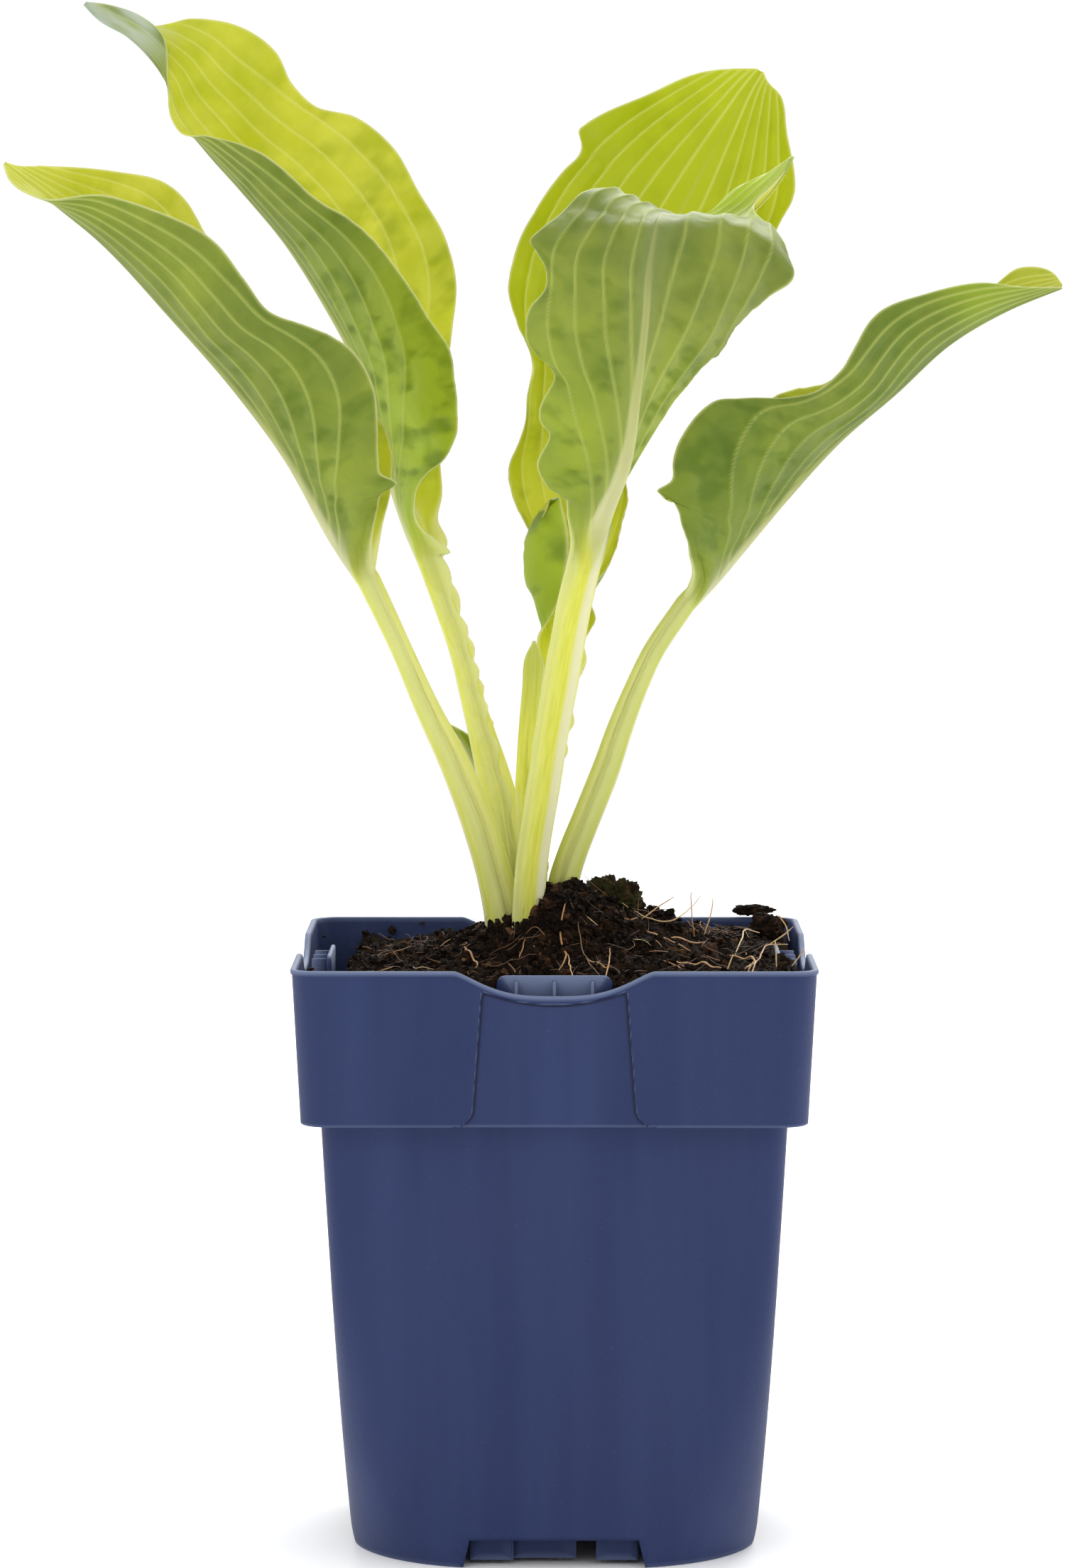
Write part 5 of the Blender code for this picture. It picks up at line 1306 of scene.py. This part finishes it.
def make_straws(material):
    """The straws that lie over the peat's lumps, and the strays that stick out of it."""
    for k, (node, plan) in enumerate(STRAWS):
        plan = np.array(plan, float)
        path = follow(np.column_stack([plan, np.zeros(len(plan))]), np.linspace(0, 1, 30))
        lift = STRAW_LIES_OVER + 0.4 * np.sin(np.linspace(0, 5, 30) + k)
        path[:, 2] = soil_height(path[:, 0], path[:, 1]) + lift
        shape, tones = strand_mesh(path[None], np.array([STRAW_WIDTH]), np.array([0.60 + 0.03 * k]), 8)
        piece("fibre_" + node, shape, [node], [material], {"tone": tones})
    paths = np.array([follow(points, np.linspace(0, 1, 24)) for points, _ in STRAYS])
    paths = paths + 0.25 * np.stack([lumps(paths, 3.0, seed) for seed in (71, 72, 73)], -1)
    widths = np.array([THICK_STRAY if tone > 0.5 else THIN_STRAY for _, tone in STRAYS])
    shape, tones = strand_mesh(paths, widths, np.array([tone for _, tone in STRAYS]), 6)
    piece("stray_straws", shape, [], [material], {"tone": tones})


def make_fibres(material):
    """Fine roots and fibres that lie on the peat: bent strands at random, kept just above its surface."""
    rng = np.random.default_rng(31)
    count, steps = FIBRE_COUNT, FIBRE_STEPS
    reach = COLLAR_FOOT_HALF - COLLAR_WALL - 6
    start = rng.uniform(-reach, reach, (count, 2))
    start[:, 0] = np.where(start[:, 0] < -48, start[:, 0] + 12, start[:, 0])
    heading = rng.uniform(0, 2 * pi, count)
    bend = rng.normal(0, 0.16, count)
    length = rng.uniform(2, 9, count)
    t = np.linspace(0, 1, steps)
    turn = heading[:, None] + bend[:, None] * length[:, None] * t
    step = length[:, None] / (steps - 1)
    x = start[:, :1] + np.cumsum(np.cos(turn) * step, axis=1)
    y = start[:, 1:] + np.cumsum(np.sin(turn) * step, axis=1)
    x, y = np.clip(x, -reach - 3, reach + 3), np.clip(y, -reach - 3, reach + 3)
    z = soil_height(x, y) + 0.9 + rng.uniform(0, 1.2, (count, 1)) + rng.uniform(-1.5, 2.6, (count, 1)) * t
    paths = np.stack([x, y, z], -1)
    shape, tones = strand_mesh(paths, rng.uniform(0.10, 0.26, count), rng.beta(1.0, 3.0, count))
    piece("fine_fibres", shape, [], [material], {"tone": tones})


# ================================================================ floor, light and camera
LIGHTS = (  # name, place and aim in metres, size, power
    ("key_light", (-0.7, -1.3, 1.4), (0, 0, 0.25), 1.0, 5.0),
    ("left_light", (-1.5, 0.1, 0.35), (0, 0, 0.1), 0.9, 5.0),
    ("right_light", (1.5, 0.1, 0.35), (0, 0, 0.1), 0.9, 5.0),
    ("fill_light", (1.4, -1.0, 0.8), (0, 0, 0.2), 1.2, 2.0),
    ("back_light", (0.2, 1.3, 1.3), (0, 0, 0.25), 1.2, 22.0),
)
FLOOR_SIZE = 30
SKY_STRENGTH = 1.06
CAMERA_PLACE = (0, -1.4085, 0.3077)
CAMERA_AIM = (-0.0057, 0, 0.1949)
CAMERA_LENS = 124.97
CAMERA_SENSOR = 36


def make_stage():
    """A pale floor, an even white sky and five soft lights, the strongest behind the leaves."""
    bpy.ops.mesh.primitive_plane_add(size=FLOOR_SIZE)
    floor = bpy.context.object
    floor.name = "studio_floor"
    floor.data.materials.append(floor_finish())
    scene = bpy.context.scene
    scene.world = bpy.data.worlds.new("studio_world")
    scene.world.use_nodes = True
    background = scene.world.node_tree.nodes["Background"]
    background.inputs["Color"].default_value = (1, 1, 1, 1)
    background.inputs["Strength"].default_value = SKY_STRENGTH
    scene.view_settings.view_transform = "Standard"
    for name, place, aim, size, power in LIGHTS:
        data = bpy.data.lights.new(name, "AREA")
        data.size = size
        data.energy = power
        light = bpy.data.objects.new(name, data)
        light.location = place
        light.rotation_euler = (Vector(aim) - Vector(place)).to_track_quat("-Z", "Y").to_euler()
        scene.collection.objects.link(light)


def make_camera():
    """A long lens a little above the rim, aimed at the middle of the plant."""
    data = bpy.data.cameras.new("camera")
    data.lens = CAMERA_LENS
    data.sensor_width = CAMERA_SENSOR
    data.clip_end = 50
    camera = bpy.data.objects.new("camera", data)
    camera.location = CAMERA_PLACE
    camera.rotation_euler = (Vector(CAMERA_AIM) - camera.location).to_track_quat("-Z", "Y").to_euler()
    bpy.context.scene.collection.objects.link(camera)
    bpy.context.scene.camera = camera


make_camera()
make_stage()
plastic = moulded_plastic()
make_pot(plastic)
make_tabs(plastic)
make_foot_panels(plastic)
make_soil(peat())
crumbs = crumb_finish()
make_crumbs(crumbs)
make_clods(crumbs)
fibres = fibre_finish()
make_straws(fibres)
make_fibres(fibres)
underside = leaf_finish("leaf_underside", blade=(0.165, 0.215, 0.048, 1), patch=(0.27, 0.33, 0.05, 1),
                        deep=(0.095, 0.165, 0.014, 1), vein=(0.46, 0.52, 0.14, 1), rim=(0.70, 0.72, 0.36, 1),
                        lit=(0.46, 0.62, 0.03, 1), gloss=0.42, light_through=0.38,
                        bloom=(0.24, 0.29, 0.15, 1))
upperside = leaf_finish("leaf_upperside", blade=(0.68, 0.68, 0.016, 1), patch=(0.86, 0.82, 0.09, 1),
                        deep=(0.34, 0.42, 0.004, 1), vein=(0.86, 0.85, 0.24, 1), rim=(0.84, 0.82, 0.44, 1),
                        lit=(0.54, 0.60, 0.006, 1), gloss=0.36, light_through=0.45)
for leaf_name, guides in LEAVES.items():
    make_leaf(leaf_name, guides, underside, upperside)
make_crown(crown_finish())
